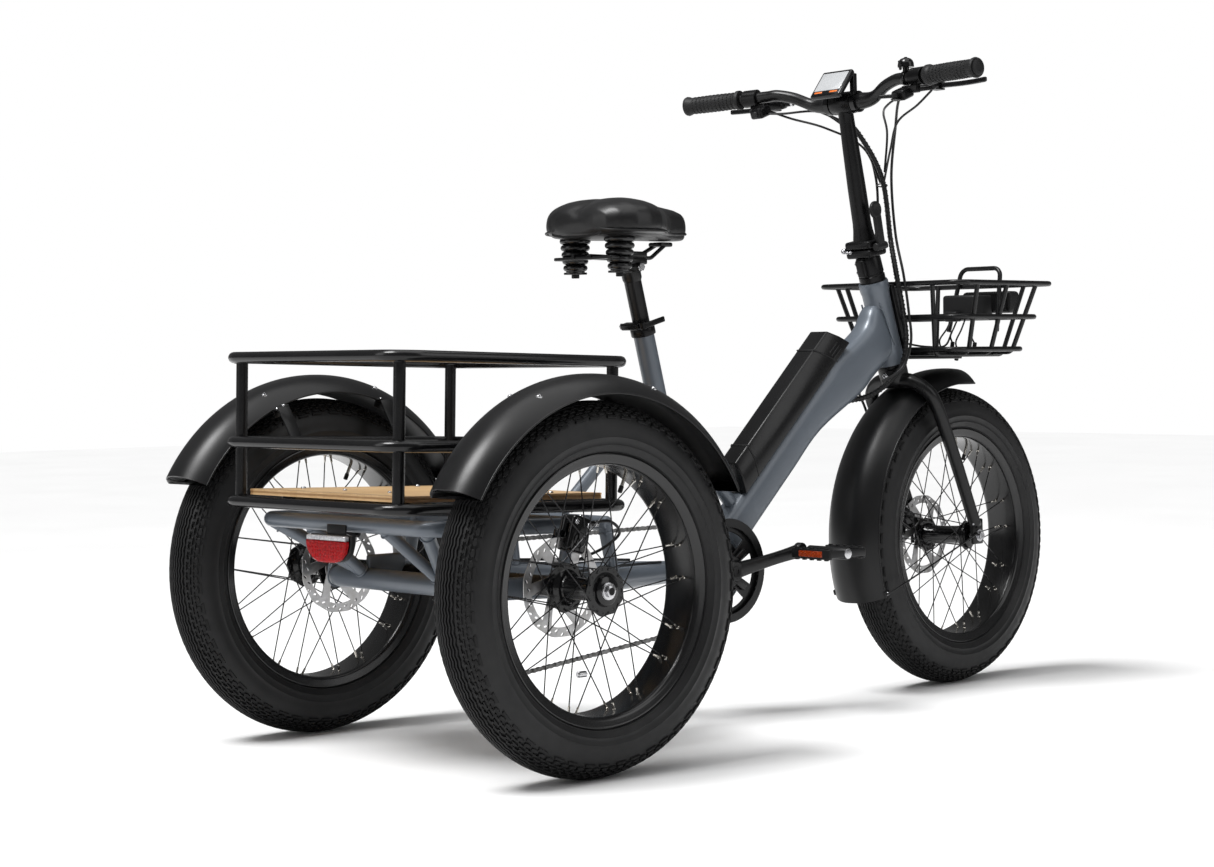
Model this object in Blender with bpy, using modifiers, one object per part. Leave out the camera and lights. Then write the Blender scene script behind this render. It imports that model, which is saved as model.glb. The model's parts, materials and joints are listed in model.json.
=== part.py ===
"""An adult electric tricycle, modelled as an assembly of its separate pieces.

Metres, +Z up. The front of the tricycle faces -Y and the rider's left is +X. Everything is drawn
in the bike's own frame, whose y is measured from the rear axle, and hangs from an empty that puts
the origin on the ground under the middle of the whole machine.
"""
import math

import bmesh
import bpy
from mathutils import Matrix, Vector

# Driving dimensions
WHEELBASE = 1.286
TRACK = 0.724
WHEEL_RADIUS = 0.294
TYRE_HALF_WIDTH = 0.0505
RIM_LIP_RADIUS = 0.211
RIM_HALF_WIDTH = 0.0395
HEAD_ANGLE = math.radians(18.0)       # steering axis, leaning back from the vertical
REST_STEER = math.radians(4.74)       # the bar and front wheel stand turned a little to the left
SEAT_ANGLE = math.radians(15.0)       # seat tube, leaning back from the vertical
REAR_AXLE_Y = 0.6425                  # puts the origin under the middle of the machine
WHEEL_STEPS = 24
GAP = 0.0004                          # between pieces that touch or that are cut for each other

HEAD_TOP = Vector((0, -1.065, 0.798))
HEAD_LENGTH = 0.1755
STEM_FOOT = Vector((0, -1.045, 0.8605))
STEM_TOP = Vector((0, -0.990, 1.1365))
SEAT_CLAMP = Vector((0, -0.456, 0.697))
SADDLE_Y = -0.387
CRANK = Vector((0, -0.604, 0.268))
CRANK_LENGTH = 0.165
CRANK_ANGLE = math.radians(10.0)      # the right arm points forward and a little up
PEDAL_X = 0.155
CHAIN_X = -0.050
CHAIN_PITCH = 0.0127
CHAINRING_TEETH = 44
SPROCKET_TEETH = 28
JOCKEY_TEETH = 11
DOWN_TUBE_SLOPE = math.radians(44.3)
DOWN_TUBE_HALF_WIDTH = 0.028
BATTERY_LENGTH = 0.397
ROTOR_RADIUS = 0.080
ROTOR_X = 0.2945
FENDER_RADIUS = 0.335
FENDER_HALF_WIDTH = 0.060
RACK_HALF_WIDTH = 0.236
RACK_HALF_LENGTH = 0.243
RACK_Y = 0.038
RACK_Z = 0.418                        # centre of the bottom rail, at the middle of the rack
RACK_TILT = math.radians(1.6)
RACK_RAIL = 0.009

STEER_UP = Vector((0, math.sin(HEAD_ANGLE), math.cos(HEAD_ANGLE)))
SEAT_UP = Vector((0, math.sin(SEAT_ANGLE), math.cos(SEAT_ANGLE)))
STEM_UP = (STEM_TOP - STEM_FOOT).normalized()
FRONT_AXLE = Vector((0, -WHEELBASE, WHEEL_RADIUS))
UP = Vector((0, 0, 1))

COLOURS = {
    "frame_paint": ((0.107, 0.130, 0.162), 0.35, 0.35),
    "black_paint": ((0.012, 0.012, 0.013), 0.35, 0.3),
    "black_plastic": ((0.016, 0.016, 0.017), 0.5, 0.0),
    "rubber": ((0.02, 0.02, 0.022), 0.75, 0.0),
    "steel": ((0.42, 0.42, 0.42), 0.3, 1.0),
    "wood": ((0.62, 0.40, 0.19), 0.45, 0.0),
    "red_lens": ((0.6, 0.01, 0.012), 0.15, 0.0),
    "saddle_cover": ((0.015, 0.015, 0.016), 0.45, 0.0),
}


def clear_scene():
    for old in list(bpy.data.objects):
        bpy.data.objects.remove(old, do_unlink=True)


clear_scene()
COLLECTION = bpy.data.collections.new("adult_tricycle")
bpy.context.scene.collection.children.link(COLLECTION)
MATERIALS = {}
REST = {}


def material(kind):
    if kind not in MATERIALS:
        colour, roughness, metallic = COLOURS[kind]
        made = bpy.data.materials.new(kind)
        made.use_nodes = True
        shader = made.node_tree.nodes["Principled BSDF"]
        shader.inputs["Base Color"].default_value = (*colour, 1)
        shader.inputs["Roughness"].default_value = roughness
        shader.inputs["Metallic"].default_value = metallic
        made.diffuse_color = (*colour, 1)
        MATERIALS[kind] = made
    return MATERIALS[kind]


def attach(obj, parent):
    """Hang an object from an empty, so that it can still be drawn in the bike's frame."""
    obj.parent = parent
    obj.matrix_parent_inverse = REST[parent.name].inverted()


def axis_empty(name, point, direction=(1, 0, 0), parent=None):
    """An empty on a joint's axis, with its own Z along that axis."""
    empty = bpy.data.objects.new(name, None)
    COLLECTION.objects.link(empty)
    turn = UP.rotation_difference(Vector(direction)).to_matrix().to_4x4()
    REST[name] = Matrix.Translation(point) @ turn
    if parent:
        attach(empty, parent)
    empty.matrix_basis = REST[name]
    return empty


def new_object(name, mesh):
    obj = bpy.data.objects.new(name, mesh)
    COLLECTION.objects.link(obj)
    return obj


def baked(obj):
    """The object's mesh with its modifiers applied, welded where a curve's caps are loose."""
    bpy.context.view_layer.update()
    graph = bpy.context.evaluated_depsgraph_get()
    mesh = bpy.data.meshes.new_from_object(obj.evaluated_get(graph))
    shape = bmesh.new()
    shape.from_mesh(mesh)
    bmesh.ops.remove_doubles(shape, verts=shape.verts, dist=0.00001)
    bmesh.ops.recalc_face_normals(shape, faces=shape.faces)
    shape.to_mesh(mesh)
    shape.free()
    return mesh


def to_mesh(obj):
    """Turn a curve, or a mesh with modifiers, into a plain mesh object in the same place."""
    solid = new_object(obj.name + "_solid", baked(obj))
    solid.matrix_world = obj.matrix_world.copy()
    bpy.data.objects.remove(obj, do_unlink=True)
    return solid


def combine(body, others, operation):
    """Union or difference of a mesh object with each of the others, which are used up."""
    for other in others:
        change = body.modifiers.new(operation.lower(), "BOOLEAN")
        change.operation = operation
        change.solver = "EXACT"
        change.object = other
        mesh = baked(body)
        body.modifiers.clear()
        body.data = mesh
        bpy.data.objects.remove(other, do_unlink=True)
    return body


def fuse(body, others):
    return combine(body, others, "UNION")


def cut(body, others):
    return combine(body, others, "DIFFERENCE")


def finish(obj, name, kind, parent, sharp=32):
    """Name the piece, give it its material and hang it from the empty of its moving body."""
    if obj.type == "MESH":
        obj.data.materials.clear()
        obj.data.shade_smooth()
        obj.data.set_sharp_from_angle(angle=math.radians(sharp))
    obj.name = name
    obj.data.name = name
    obj.data.materials.append(material(kind))
    attach(obj, parent)
    return obj


def bevel(obj, width, segments=1):
    change = obj.modifiers.new("bevel", "BEVEL")
    change.width = width
    change.segments = segments
    change.limit_method = "ANGLE"
    return obj


def tube(points, radius, closed=False, sides=2, smooth=0):
    """A round tube along straight runs, or along a smooth curve through the points."""
    curve = bpy.data.curves.new("tube", "CURVE")
    curve.dimensions = "3D"
    curve.bevel_depth = radius
    curve.bevel_resolution = sides
    curve.use_fill_caps = not closed
    route = smooth_route(points, smooth) if smooth else [Vector(p) for p in points]
    spline = curve.splines.new("POLY")
    spline.points.add(len(route) - 1)
    for place, point in zip(spline.points, route):
        place.co = (*point, 1)
    spline.use_cyclic_u = closed
    return new_object("tube", curve)


def smooth_route(points, steps):
    """Points on a smooth curve through the given ones, `steps` to each stretch."""
    ends = [Vector(p) for p in points]
    ends = [2 * ends[0] - ends[1]] + ends + [2 * ends[-1] - ends[-2]]
    route = []
    for before, start, end, after in zip(ends, ends[1:], ends[2:], ends[3:]):
        for k in range(steps):
            t = k / steps
            route.append(0.5 * (2 * start + (end - before) * t
                                + (2 * before - 5 * start + 4 * end - after) * t ** 2
                                + (3 * start - before - 3 * end + after) * t ** 3))
    return route + [ends[-2]]


def rounded(points, radius, steps=4, closed=False):
    """Straight runs through the points, with each corner replaced by an arc."""
    points = [Vector(p) for p in points]
    route = []
    for k, corner in enumerate(points):
        if not closed and k in (0, len(points) - 1):
            route.append(corner)
            continue
        back = (points[k - 1] - corner).normalized()
        ahead = (points[(k + 1) % len(points)] - corner).normalized()
        half = back.angle(ahead) / 2
        middle = (back + ahead).normalized()
        centre = corner + middle * radius / math.sin(half)
        reach = radius / math.tan(half)
        first = (corner + back * reach - centre).normalized()
        last = (corner + ahead * reach - centre).normalized()
        for step in range(steps + 1):
            route.append(centre + first.slerp(last, step / steps) * radius)
    return route


def rod(start, end, radius, sides=12, end_radius=None):
    """A solid cylinder or cone from one point to another."""
    start, end = Vector(start), Vector(end)
    mesh = bpy.data.meshes.new("rod")
    shape = bmesh.new()
    bmesh.ops.create_cone(shape, cap_ends=True, segments=sides, radius1=radius,
                          radius2=radius if end_radius is None else end_radius,
                          depth=(end - start).length)
    shape.to_mesh(mesh)
    shape.free()
    turn = UP.rotation_difference(end - start).to_matrix().to_4x4()
    mesh.transform(Matrix.Translation((start + end) / 2) @ turn)
    return new_object("rod", mesh)


def block(size, centre, turn=(0, 0, 0), edge=0):
    """A box, turned about X, Y and Z, with bevelled edges where an edge width is given."""
    mesh = bpy.data.meshes.new("block")
    shape = bmesh.new()
    bmesh.ops.create_cube(shape, size=1)
    bmesh.ops.scale(shape, vec=size, verts=shape.verts)
    if edge:
        bmesh.ops.bevel(shape, geom=shape.edges, offset=edge, segments=1, affect="EDGES")
    shape.to_mesh(mesh)
    shape.free()
    angles = [math.radians(a) for a in turn]
    spin = Matrix.Rotation(angles[2], 4, "Z") @ Matrix.Rotation(angles[1], 4, "Y") \
        @ Matrix.Rotation(angles[0], 4, "X")
    mesh.transform(Matrix.Translation(centre) @ spin)
    return new_object("block", mesh)


def plate(outline, thickness, x=0, holes=(), sideways=None):
    """A flat outline in the YZ plane, given as (y, z), with its thickness along X.

    With `sideways` the outline lies in the XY plane at that height instead."""
    curve = bpy.data.curves.new("plate", "CURVE")
    curve.dimensions = "2D"
    curve.fill_mode = "BOTH"
    curve.extrude = thickness / 2
    for ring in (outline, *holes):
        spline = curve.splines.new("POLY")
        spline.points.add(len(ring) - 1)
        for place, (u, v) in zip(spline.points, ring):
            place.co = (u, v, 0, 1)
        spline.use_cyclic_u = True
    obj = new_object("plate", curve)
    if sideways is None:
        basis = Matrix(((0, 0, 1, x), (1, 0, 0, 0), (0, 1, 0, 0), (0, 0, 0, 1)))
    else:
        basis = Matrix.Translation((0, 0, sideways))
    solid = to_mesh(obj)
    solid.data.transform(basis)
    return solid


def turned(profile, steps, centre=(0, 0, 0), direction=(1, 0, 0), ring=True):
    """A profile of (radius, height) spun round its own height axis.

    A ring's profile is a closed loop. A solid's profile starts and ends on the axis."""
    area = sum(a[0] * b[1] - b[0] * a[1] for a, b in zip(profile, profile[1:] + profile[:1]))
    if area > 0:
        profile = profile[::-1]
    mesh = bpy.data.meshes.new("turned")
    shape = bmesh.new()
    corners = [shape.verts.new((radius, 0, height)) for radius, height in profile]
    pairs = list(zip(corners, corners[1:]))
    if ring:
        pairs.append((corners[-1], corners[0]))
    for pair in pairs:
        shape.edges.new(pair)
    shape.to_mesh(mesh)
    shape.free()
    obj = new_object("turned", mesh)
    spin = obj.modifiers.new("spin", "SCREW")
    spin.axis = "Z"
    spin.steps = spin.render_steps = steps
    spin.use_merge_vertices = True
    spin.merge_threshold = 0.00001
    spin.use_smooth_shade = True
    solid = to_mesh(obj)
    turn = UP.rotation_difference(Vector(direction)).to_matrix().to_4x4()
    solid.data.transform(Matrix.Translation(centre) @ turn)
    return solid


def arc(centre, radius, start, end, steps):
    """Points (u, v) on an arc, with its angles in degrees."""
    angles = [math.radians(start + (end - start) * k / steps) for k in range(steps + 1)]
    return [(centre[0] + radius * math.cos(a), centre[1] + radius * math.sin(a)) for a in angles]


# The empties that carry the moving bodies
DATUM = axis_empty("rear_axle_datum", (0, 0, 0), (0, 0, 1))
STEERING = axis_empty("steering_axis", HEAD_TOP, STEER_UP, DATUM)
HINGE_PIN = STEM_FOOT + Vector((0.033, 0, 0))
STEM_FORWARD = Vector((0, -STEM_UP.z, STEM_UP.y))
STEM = axis_empty("stem_fold_axis", HINGE_PIN, STEM_FORWARD, STEERING)
FRONT_WHEEL = axis_empty("front_wheel_axis", FRONT_AXLE, (1, 0, 0), STEERING)
REAR_WHEELS = {side: axis_empty(f"rear_wheel_{side}_axis", (x, 0, WHEEL_RADIUS), (1, 0, 0), DATUM)
               for side, x in (("left", TRACK / 2), ("right", -TRACK / 2))}
CRANKSET = axis_empty("crank_axis", CRANK, (1, 0, 0), DATUM)
SEAT = axis_empty("seat_slide_axis", SEAT_CLAMP, SEAT_UP, DATUM)
SIDES = (("left", 1), ("right", -1))


# Wheels

def tyre_profile():
    """A U section: (radius, offset from the wheel's plane), open towards the rim."""
    centre = WHEEL_RADIUS - TYRE_HALF_WIDTH
    crown = [(r, h) for h, r in arc((0, centre), TYRE_HALF_WIDTH, 0, 180, 6)]
    inside = [(r, h) for h, r in arc((0, centre), TYRE_HALF_WIDTH - 0.005, 180, 0, 4)]
    outer_wall = [(0.2016, 0.0345), (0.2118, 0.0355)]
    inner_wall = [(0.2016, 0.0285)]
    left = [(r, -h) for r, h in reversed(outer_wall)]
    left_inner = [(r, -h) for r, h in reversed(inner_wall)]
    return outer_wall + crown + left + left_inner + inside + inner_wall


def rim_profile():
    wall, lip = RIM_HALF_WIDTH, RIM_LIP_RADIUS
    half = [(0.1945, 0.0300), (0.1975, wall), (lip, wall), (lip, wall - 0.003),
            (0.2000, wall - 0.0033)]
    return half + [(r, -h) for r, h in reversed(half)]


def hub_profile(flanges, ends, radii, bore):
    """A hub shell with two flanges. Heights run along +X from the wheel's plane."""
    low, high = flanges
    first, last = ends
    waist = 0.0185
    thick = 0.0032
    shell = [(bore, first), (0.0230, first), (0.0230, low - thick), (radii[0], low - thick),
             (radii[0], low + thick), (waist, low + 0.012), (waist, high - 0.012),
             (radii[1], high - thick), (radii[1], high + thick), (0.0210, high + thick),
             (0.0180, last), (bore, last)]
    return shell


def spokes(centre, flanges, radii):
    """36 thin rods from the flanges to just short of the rim, drawn in one mesh."""
    mesh = bpy.data.meshes.new("spokes")
    shape = bmesh.new()
    count = 18
    for flange, radius, lean in ((flanges[0], radii[0], -1), (flanges[1], radii[1], 1)):
        for k in range(count):
            hub_angle = 2 * math.pi * k / count
            swing = math.radians(62) * (1 if k % 2 else -1)
            layer = lean * (0.0014 if k % 2 else -0.0014)
            rim_angle = hub_angle + swing
            foot = radius - 0.005
            start = Vector((flange + layer, foot * math.cos(hub_angle), foot * math.sin(hub_angle)))
            reach = 0.1938
            end = Vector((lean * 0.008 + 2 * layer, reach * math.cos(rim_angle),
                          reach * math.sin(rim_angle)))
            turn = UP.rotation_difference(end - start).to_matrix().to_4x4()
            place = Matrix.Translation((start + end) / 2) @ turn
            bmesh.ops.create_cone(shape, cap_ends=True, segments=3, radius1=0.0011,
                                  radius2=0.0011, depth=(end - start).length, matrix=place)
    shape.to_mesh(mesh)
    shape.free()
    mesh.transform(Matrix.Translation(centre))
    return new_object("spokes", mesh)


def rotor(centre):
    """A brake disc: a band on six arms, with its windows cut through."""
    windows = []
    for k in range(6):
        start = 60 * k + 6
        windows.append(arc((0, 0), 0.066, start, start + 46, 3)
                       + arc((0, 0), 0.030, start + 30, start - 4, 1))
    disc = plate(arc((0, 0), ROTOR_RADIUS, 0, 345, 23), 0.002, 0,
                 [arc((0, 0), 0.0235, 0, 330, 11), *windows])
    disc.data.transform(Matrix.Translation(centre))
    return disc


def wheel(name, centre, empty, flanges, ends, radii, bore, rotor_offset):
    centre = Vector(centre)
    for piece, profile, kind in (("tyre", tyre_profile(), "rubber"),
                                 ("rim", rim_profile(), "black_paint")):
        flat = 1 / math.cos(math.pi / WHEEL_STEPS)      # the flats of the ring touch its radius
        hoop = turned([(radius * flat, h) for radius, h in profile], WHEEL_STEPS)
        half_step = Matrix.Rotation(math.pi / WHEEL_STEPS, 4, "X")
        hoop.data.transform(Matrix.Translation(centre) @ half_step)
        finish(hoop, f"{name}_{piece}", kind, empty)
    hub = turned(hub_profile(flanges, ends, radii, bore), 18, centre)
    fuse(hub, [spokes(centre, flanges, radii)])
    finish(hub, f"{name}_hub", "black_paint", empty)
    finish(rotor(centre + Vector((rotor_offset, 0, 0))), f"{name}_brake_rotor", "steel", empty)


def caliper(centre, angle, x, reach=ROTOR_RADIUS):
    """A brake caliper that straddles the disc's edge at an angle, in degrees up from the rear."""
    body = block((0.034, 0.040, 0.062), (0, 0, 0), edge=0.005)
    cut(body, [block((0.0046, 0.10, 0.040), (0, 0, -0.020))])
    body.data.transform(Matrix.Translation((x, centre.y, centre.z))
                        @ Matrix.Rotation(math.radians(angle - 90), 4, "X")
                        @ Matrix.Translation((0, 0, reach + 0.007)))
    return body


def build_wheels():
    wheel("front", FRONT_AXLE, FRONT_WHEEL, (-0.048, 0.048), (-0.058, 0.0575), (0.028, 0.033),
          0.0060 + GAP, 0.0590)
    for side, sign in SIDES:
        inner, outer = -0.057, 0.033
        reach = (inner, outer) if sign > 0 else (-outer, -inner)
        ends = (-0.0655, 0.042) if sign > 0 else (-0.042, 0.0655)
        wheel(f"rear_{side}", (sign * TRACK / 2, 0, WHEEL_RADIUS), REAR_WHEELS[side], reach, ends,
              (0.039, 0.039), 0.0085 + GAP, sign * (ROTOR_X - TRACK / 2))
        body = caliper(Vector((0, 0, WHEEL_RADIUS)), 108, sign * ROTOR_X)
        finish(body, f"rear_{side}_brake_caliper", "black_paint", DATUM)


# Frame

def along_down_tube(s, height):
    """A point (y, z) at distance s up the down tube and at a height above its lower face."""
    slope = DOWN_TUBE_SLOPE
    start = Vector((-0.660, 0.2850))
    up_slope = Vector((-math.cos(slope), math.sin(slope)))
    out = Vector((math.sin(slope), math.cos(slope)))
    point = start + up_slope * s + out * height
    return (point.x, point.y)


DOWN_TUBE_HEIGHT = 0.067
DOWN_TUBE_LENGTH = 0.500
MOTOR_RADIUS = 0.056


def build_main_frame():
    """Down tube, head tube, gusset, seat tube and the ring that holds the motor, welded up."""
    wide = 2 * DOWN_TUBE_HALF_WIDTH
    outline = [along_down_tube(-0.02, 0), along_down_tube(0.335, 0), (-1.0450, 0.6100),
               (-1.1000, 0.6500), (-1.1050, 0.7000), (-1.0900, 0.7500), (-1.0650, 0.7550),
               along_down_tube(0.470, DOWN_TUBE_HEIGHT),
               along_down_tube(-0.06, DOWN_TUBE_HEIGHT)]
    frame = to_mesh(bevel(plate(outline, wide), 0.007, 2))
    head_bottom = HEAD_TOP - STEER_UP * HEAD_LENGTH
    head = rod(head_bottom, HEAD_TOP, 0.0290, 24, 0.0260)
    tube_top = SEAT_CLAMP - SEAT_UP * 0.004
    tube_foot = SEAT_CLAMP - SEAT_UP * 0.410
    seat_tube = rod(tube_foot, tube_top, 0.0185, 20)
    strut = rod(SEAT_CLAMP - SEAT_UP * 0.130, (0, -0.672, 0.385), 0.0125, 12)
    cradle = rod(CRANK - Vector((0.030, 0, 0)), CRANK + Vector((0.030, 0, 0)), 0.0680, 28)
    fuse(frame, [head, cradle, seat_tube, strut])
    motor_bore = rod(CRANK - Vector((0.06, 0, 0)), CRANK + Vector((0.06, 0, 0)),
                     MOTOR_RADIUS + GAP, 28)
    post_bore = rod(SEAT_CLAMP - SEAT_UP * 0.30, SEAT_CLAMP + SEAT_UP * 0.02, 0.0155 + GAP, 16)
    steerer_bore = rod(head_bottom - STEER_UP * 0.02, HEAD_TOP + STEER_UP * 0.02, 0.0190, 16)
    cut(frame, [motor_bore, post_bore, steerer_bore])
    finish(frame, "main_frame", "frame_paint", DATUM)


def build_rear_subframe():
    """Chainstays, axle crossbar, deck supports and struts, welded into one tubular frame."""
    axle_bar = (0.082, 0.290)
    stay = [(0.027, -0.545, 0.268), (0.030, -0.495, 0.270), (0.215, -0.060, 0.285),
            (0.215, *axle_bar)]
    loop = rounded(stay + [(-x, y, z) for x, y, z in reversed(stay)], 0.045, 3)
    frame = to_mesh(tube(loop, 0.0175, sides=1))
    deck_y, deck_z = (-0.105, 0.205), (0.3830, 0.3917)
    corners = [(0.225, deck_y[1], deck_z[1]), (-0.225, deck_y[1], deck_z[1]),
               (-0.225, deck_y[0], deck_z[0]), (0.225, deck_y[0], deck_z[0])]
    extras = [to_mesh(tube(rounded(corners, 0.035, 2, closed=True), 0.0125, closed=True, sides=1)),
              rod((-0.134, -0.245, 0.3750), (0.134, -0.245, 0.3750), 0.0125, 12),
              rod((0, -0.4830, 0.5910), (0, -0.250, 0.3790), 0.0110, 12)]
    for _, sign in SIDES:
        for start, end, radius in (
                ((0.205, 0.198, 0.3880), (0.100, 0.078, 0.2960), 0.0110),
                ((0.100, 0.205, 0.3905), (0.100, 0.081, 0.2930), 0.0100),
                ((0.205, -0.100, 0.3820), (0.204, -0.078, 0.2860), 0.0110),
                ((0.124, -0.246, 0.3730), (0.130, -0.262, 0.2790), 0.0110),
                ((0.100, -0.243, 0.3760), (0.100, -0.108, 0.3810), 0.0095)):
            ends = [Vector((sign * x, y, z)) for x, y, z in (start, end)]
            extras.append(rod(*ends, radius, 10))
        extras.append(block((0.010, 0.080, 0.050), (sign * 0.100, 0.045, 0.3060), edge=0.002))
        extras.append(block((0.016, 0.124, 0.036), (sign * 0.226, 0.010, 0.2900), edge=0.002))
    fuse(frame, extras)
    clearances = [rod((-0.30, 0, WHEEL_RADIUS), (0.30, 0, WHEEL_RADIUS), 0.0165 + GAP, 20),
                  rod(CRANK - Vector((0.1, 0, 0)), CRANK + Vector((0.1, 0, 0)), 0.0680 + GAP, 28),
                  rod(SEAT_CLAMP - SEAT_UP * 0.45, SEAT_CLAMP, 0.0185 + GAP, 20)]
    cut(frame, clearances)
    finish(frame, "rear_subframe", "frame_paint", DATUM)


def build_rear_axle():
    """The through axle: a beam between the frame's lugs, with a spindle for each wheel's hub."""
    half = [(0.0125, 0.4115), (0.0125, 0.4045), (0.0085, 0.4045), (0.0085, 0.2750),
            (0.0165, 0.2750)]
    profile = [(0, 0.4115)] + half + [(r, -h) for r, h in reversed(half)] + [(0, -0.4115)]
    axle = turned(profile, 14, (0, 0, WHEEL_RADIUS), ring=False)
    finish(axle, "rear_axle", "black_paint", DATUM)


# Drive

def toothed_radius(teeth):
    return teeth * CHAIN_PITCH / (2 * math.pi)


SPROCKET = Vector((0, WHEEL_RADIUS))
GUIDE_PULLEY = Vector((0.006, 0.212))
TENSION_PULLEY = Vector((-0.036, 0.138))
SPROCKET_ROOT = 0.0046                # a sprocket's plain disc stays this far inside its chain


def chain_route():
    """The chain's pitch line as (y, z): each wheel's arc joined by tangents."""
    wheels = [(Vector((CRANK.y, CRANK.z)), toothed_radius(CHAINRING_TEETH), -1),
              (SPROCKET, toothed_radius(SPROCKET_TEETH), -1),
              (GUIDE_PULLEY, toothed_radius(JOCKEY_TEETH), 1),
              (TENSION_PULLEY, toothed_radius(JOCKEY_TEETH), -1)]
    leaving, arriving = [], []
    for k, (centre, radius, sense) in enumerate(wheels):
        other, other_radius, other_sense = wheels[(k + 1) % 4]
        across = other - centre
        lean = math.acos((sense * radius - other_sense * other_radius) / across.length)
        angle = math.atan2(across.y, across.x) - lean
        normal = Vector((math.cos(angle), math.sin(angle)))
        leaving.append(math.atan2(sense * normal.y, sense * normal.x))
        arriving.append(math.atan2(other_sense * normal.y, other_sense * normal.x))
    route = []
    for k, (centre, radius, sense) in enumerate(wheels):
        start, end = arriving[k - 1], leaving[k]
        swept = (end - start) * sense % (2 * math.pi)
        steps = max(3, round(swept / math.radians(20)))
        for step in range(steps + 1):
            angle = start + sense * swept * step / steps
            route.append((centre.x + radius * math.cos(angle), centre.y + radius * math.sin(angle)))
    return route


def build_drive():
    chain = tube([(CHAIN_X, y, z) for y, z in chain_route()], 0.0034, closed=True, sides=1)
    finish(chain, "chain", "steel", DATUM)

    steps = []
    for k, teeth in enumerate((32, 28, 24, 18, 13)):
        x = CHAIN_X + 0.0065 * (1 - k)
        radius = toothed_radius(teeth) - SPROCKET_ROOT
        steps += [(0.0230, x + 0.0009), (radius, x + 0.0009), (radius, x - 0.0009),
                  (0.0230, x - 0.0009)]
    first, last = steps[0][1] + 0.004, steps[-1][1] - 0.004
    bore = 0.0175                     # its flats turn freely round the axle's corners
    profile = [(bore, first), (0.0230, first)] + steps + [(0.0230, last), (bore, last)]
    empty = axis_empty("sprocket_axis", (0, 0, WHEEL_RADIUS), (1, 0, 0), DATUM)
    finish(turned(profile, 14, (0, 0, WHEEL_RADIUS)), "rear_sprockets", "steel", empty)

    ring_outer = toothed_radius(CHAINRING_TEETH) - SPROCKET_ROOT
    ring_hole = arc((CRANK.y, CRANK.z), 0.0200, 0, 345, 23)
    windows = []
    for k in range(5):
        start = 72 * k + 12
        centre = (CRANK.y, CRANK.z)
        windows.append(arc(centre, 0.072, start, start + 48, 4)
                       + arc(centre, 0.036, start + 42, start + 6, 2))
    ring = plate(arc((CRANK.y, CRANK.z), ring_outer, 0, 350, 35), 0.0040, CHAIN_X,
                 [ring_hole, *windows])
    finish(ring, "chainring", "black_paint", CRANKSET)

    motor = turned([(0.0135, 0.0440), (0.050, 0.0440), (MOTOR_RADIUS, 0.0390),
                    (MOTOR_RADIUS, -0.0370), (0.052, -0.0410), (0.0135, -0.0410)], 24, CRANK)
    finish(motor, "motor_housing", "black_plastic", DATUM)

    body = block((0.012, 0.030, 0.040), (CHAIN_X - 0.020, GUIDE_PULLEY.x, 0.2250), edge=0.003)
    hanger = plate(arc((0, WHEEL_RADIUS), 0.026, 0, 180, 8) + [(-0.006, 0.225), (0.020, 0.225)],
                   0.006, CHAIN_X - 0.0275)
    cut(fuse(body, [hanger]), [rod((-0.1, 0, WHEEL_RADIUS), (0, 0, WHEEL_RADIUS), 0.0165 + GAP, 20)])
    finish(body, "derailleur", "black_paint", DATUM)

    pivot = (0, GUIDE_PULLEY.x, GUIDE_PULLEY.y)
    empty = axis_empty("derailleur_cage_axis", pivot, (1, 0, 0), DATUM)
    outline = []
    down = TENSION_PULLEY - GUIDE_PULLEY
    heading = math.degrees(math.atan2(down.y, down.x))
    outline += arc(tuple(GUIDE_PULLEY), 0.012, heading + 90, heading + 270, 6)
    outline += arc(tuple(TENSION_PULLEY), 0.012, heading - 90, heading + 90, 6)
    cage = plate(outline, 0.0018, CHAIN_X - 0.0060)
    parts = [plate(outline, 0.0018, CHAIN_X + 0.0060)]
    for pulley in (GUIDE_PULLEY, TENSION_PULLEY):
        place = Vector((CHAIN_X, pulley.x, pulley.y))
        parts.append(rod(place - Vector((0.0060, 0, 0)), place + Vector((0.0060, 0, 0)), 0.005, 12))
        parts.append(rod(place - Vector((0.0010, 0, 0)), place + Vector((0.0010, 0, 0)),
                         toothed_radius(JOCKEY_TEETH) - SPROCKET_ROOT, 12))
    fuse(cage, parts)
    finish(cage, "derailleur_cage", "black_paint", empty)


def crank_tip(sign):
    """The pedal's axis: the right arm (sign -1) points forward, and the left one back."""
    forward = Vector((0, -math.cos(CRANK_ANGLE), math.sin(CRANK_ANGLE))) * CRANK_LENGTH
    return CRANK - sign * forward


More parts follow.
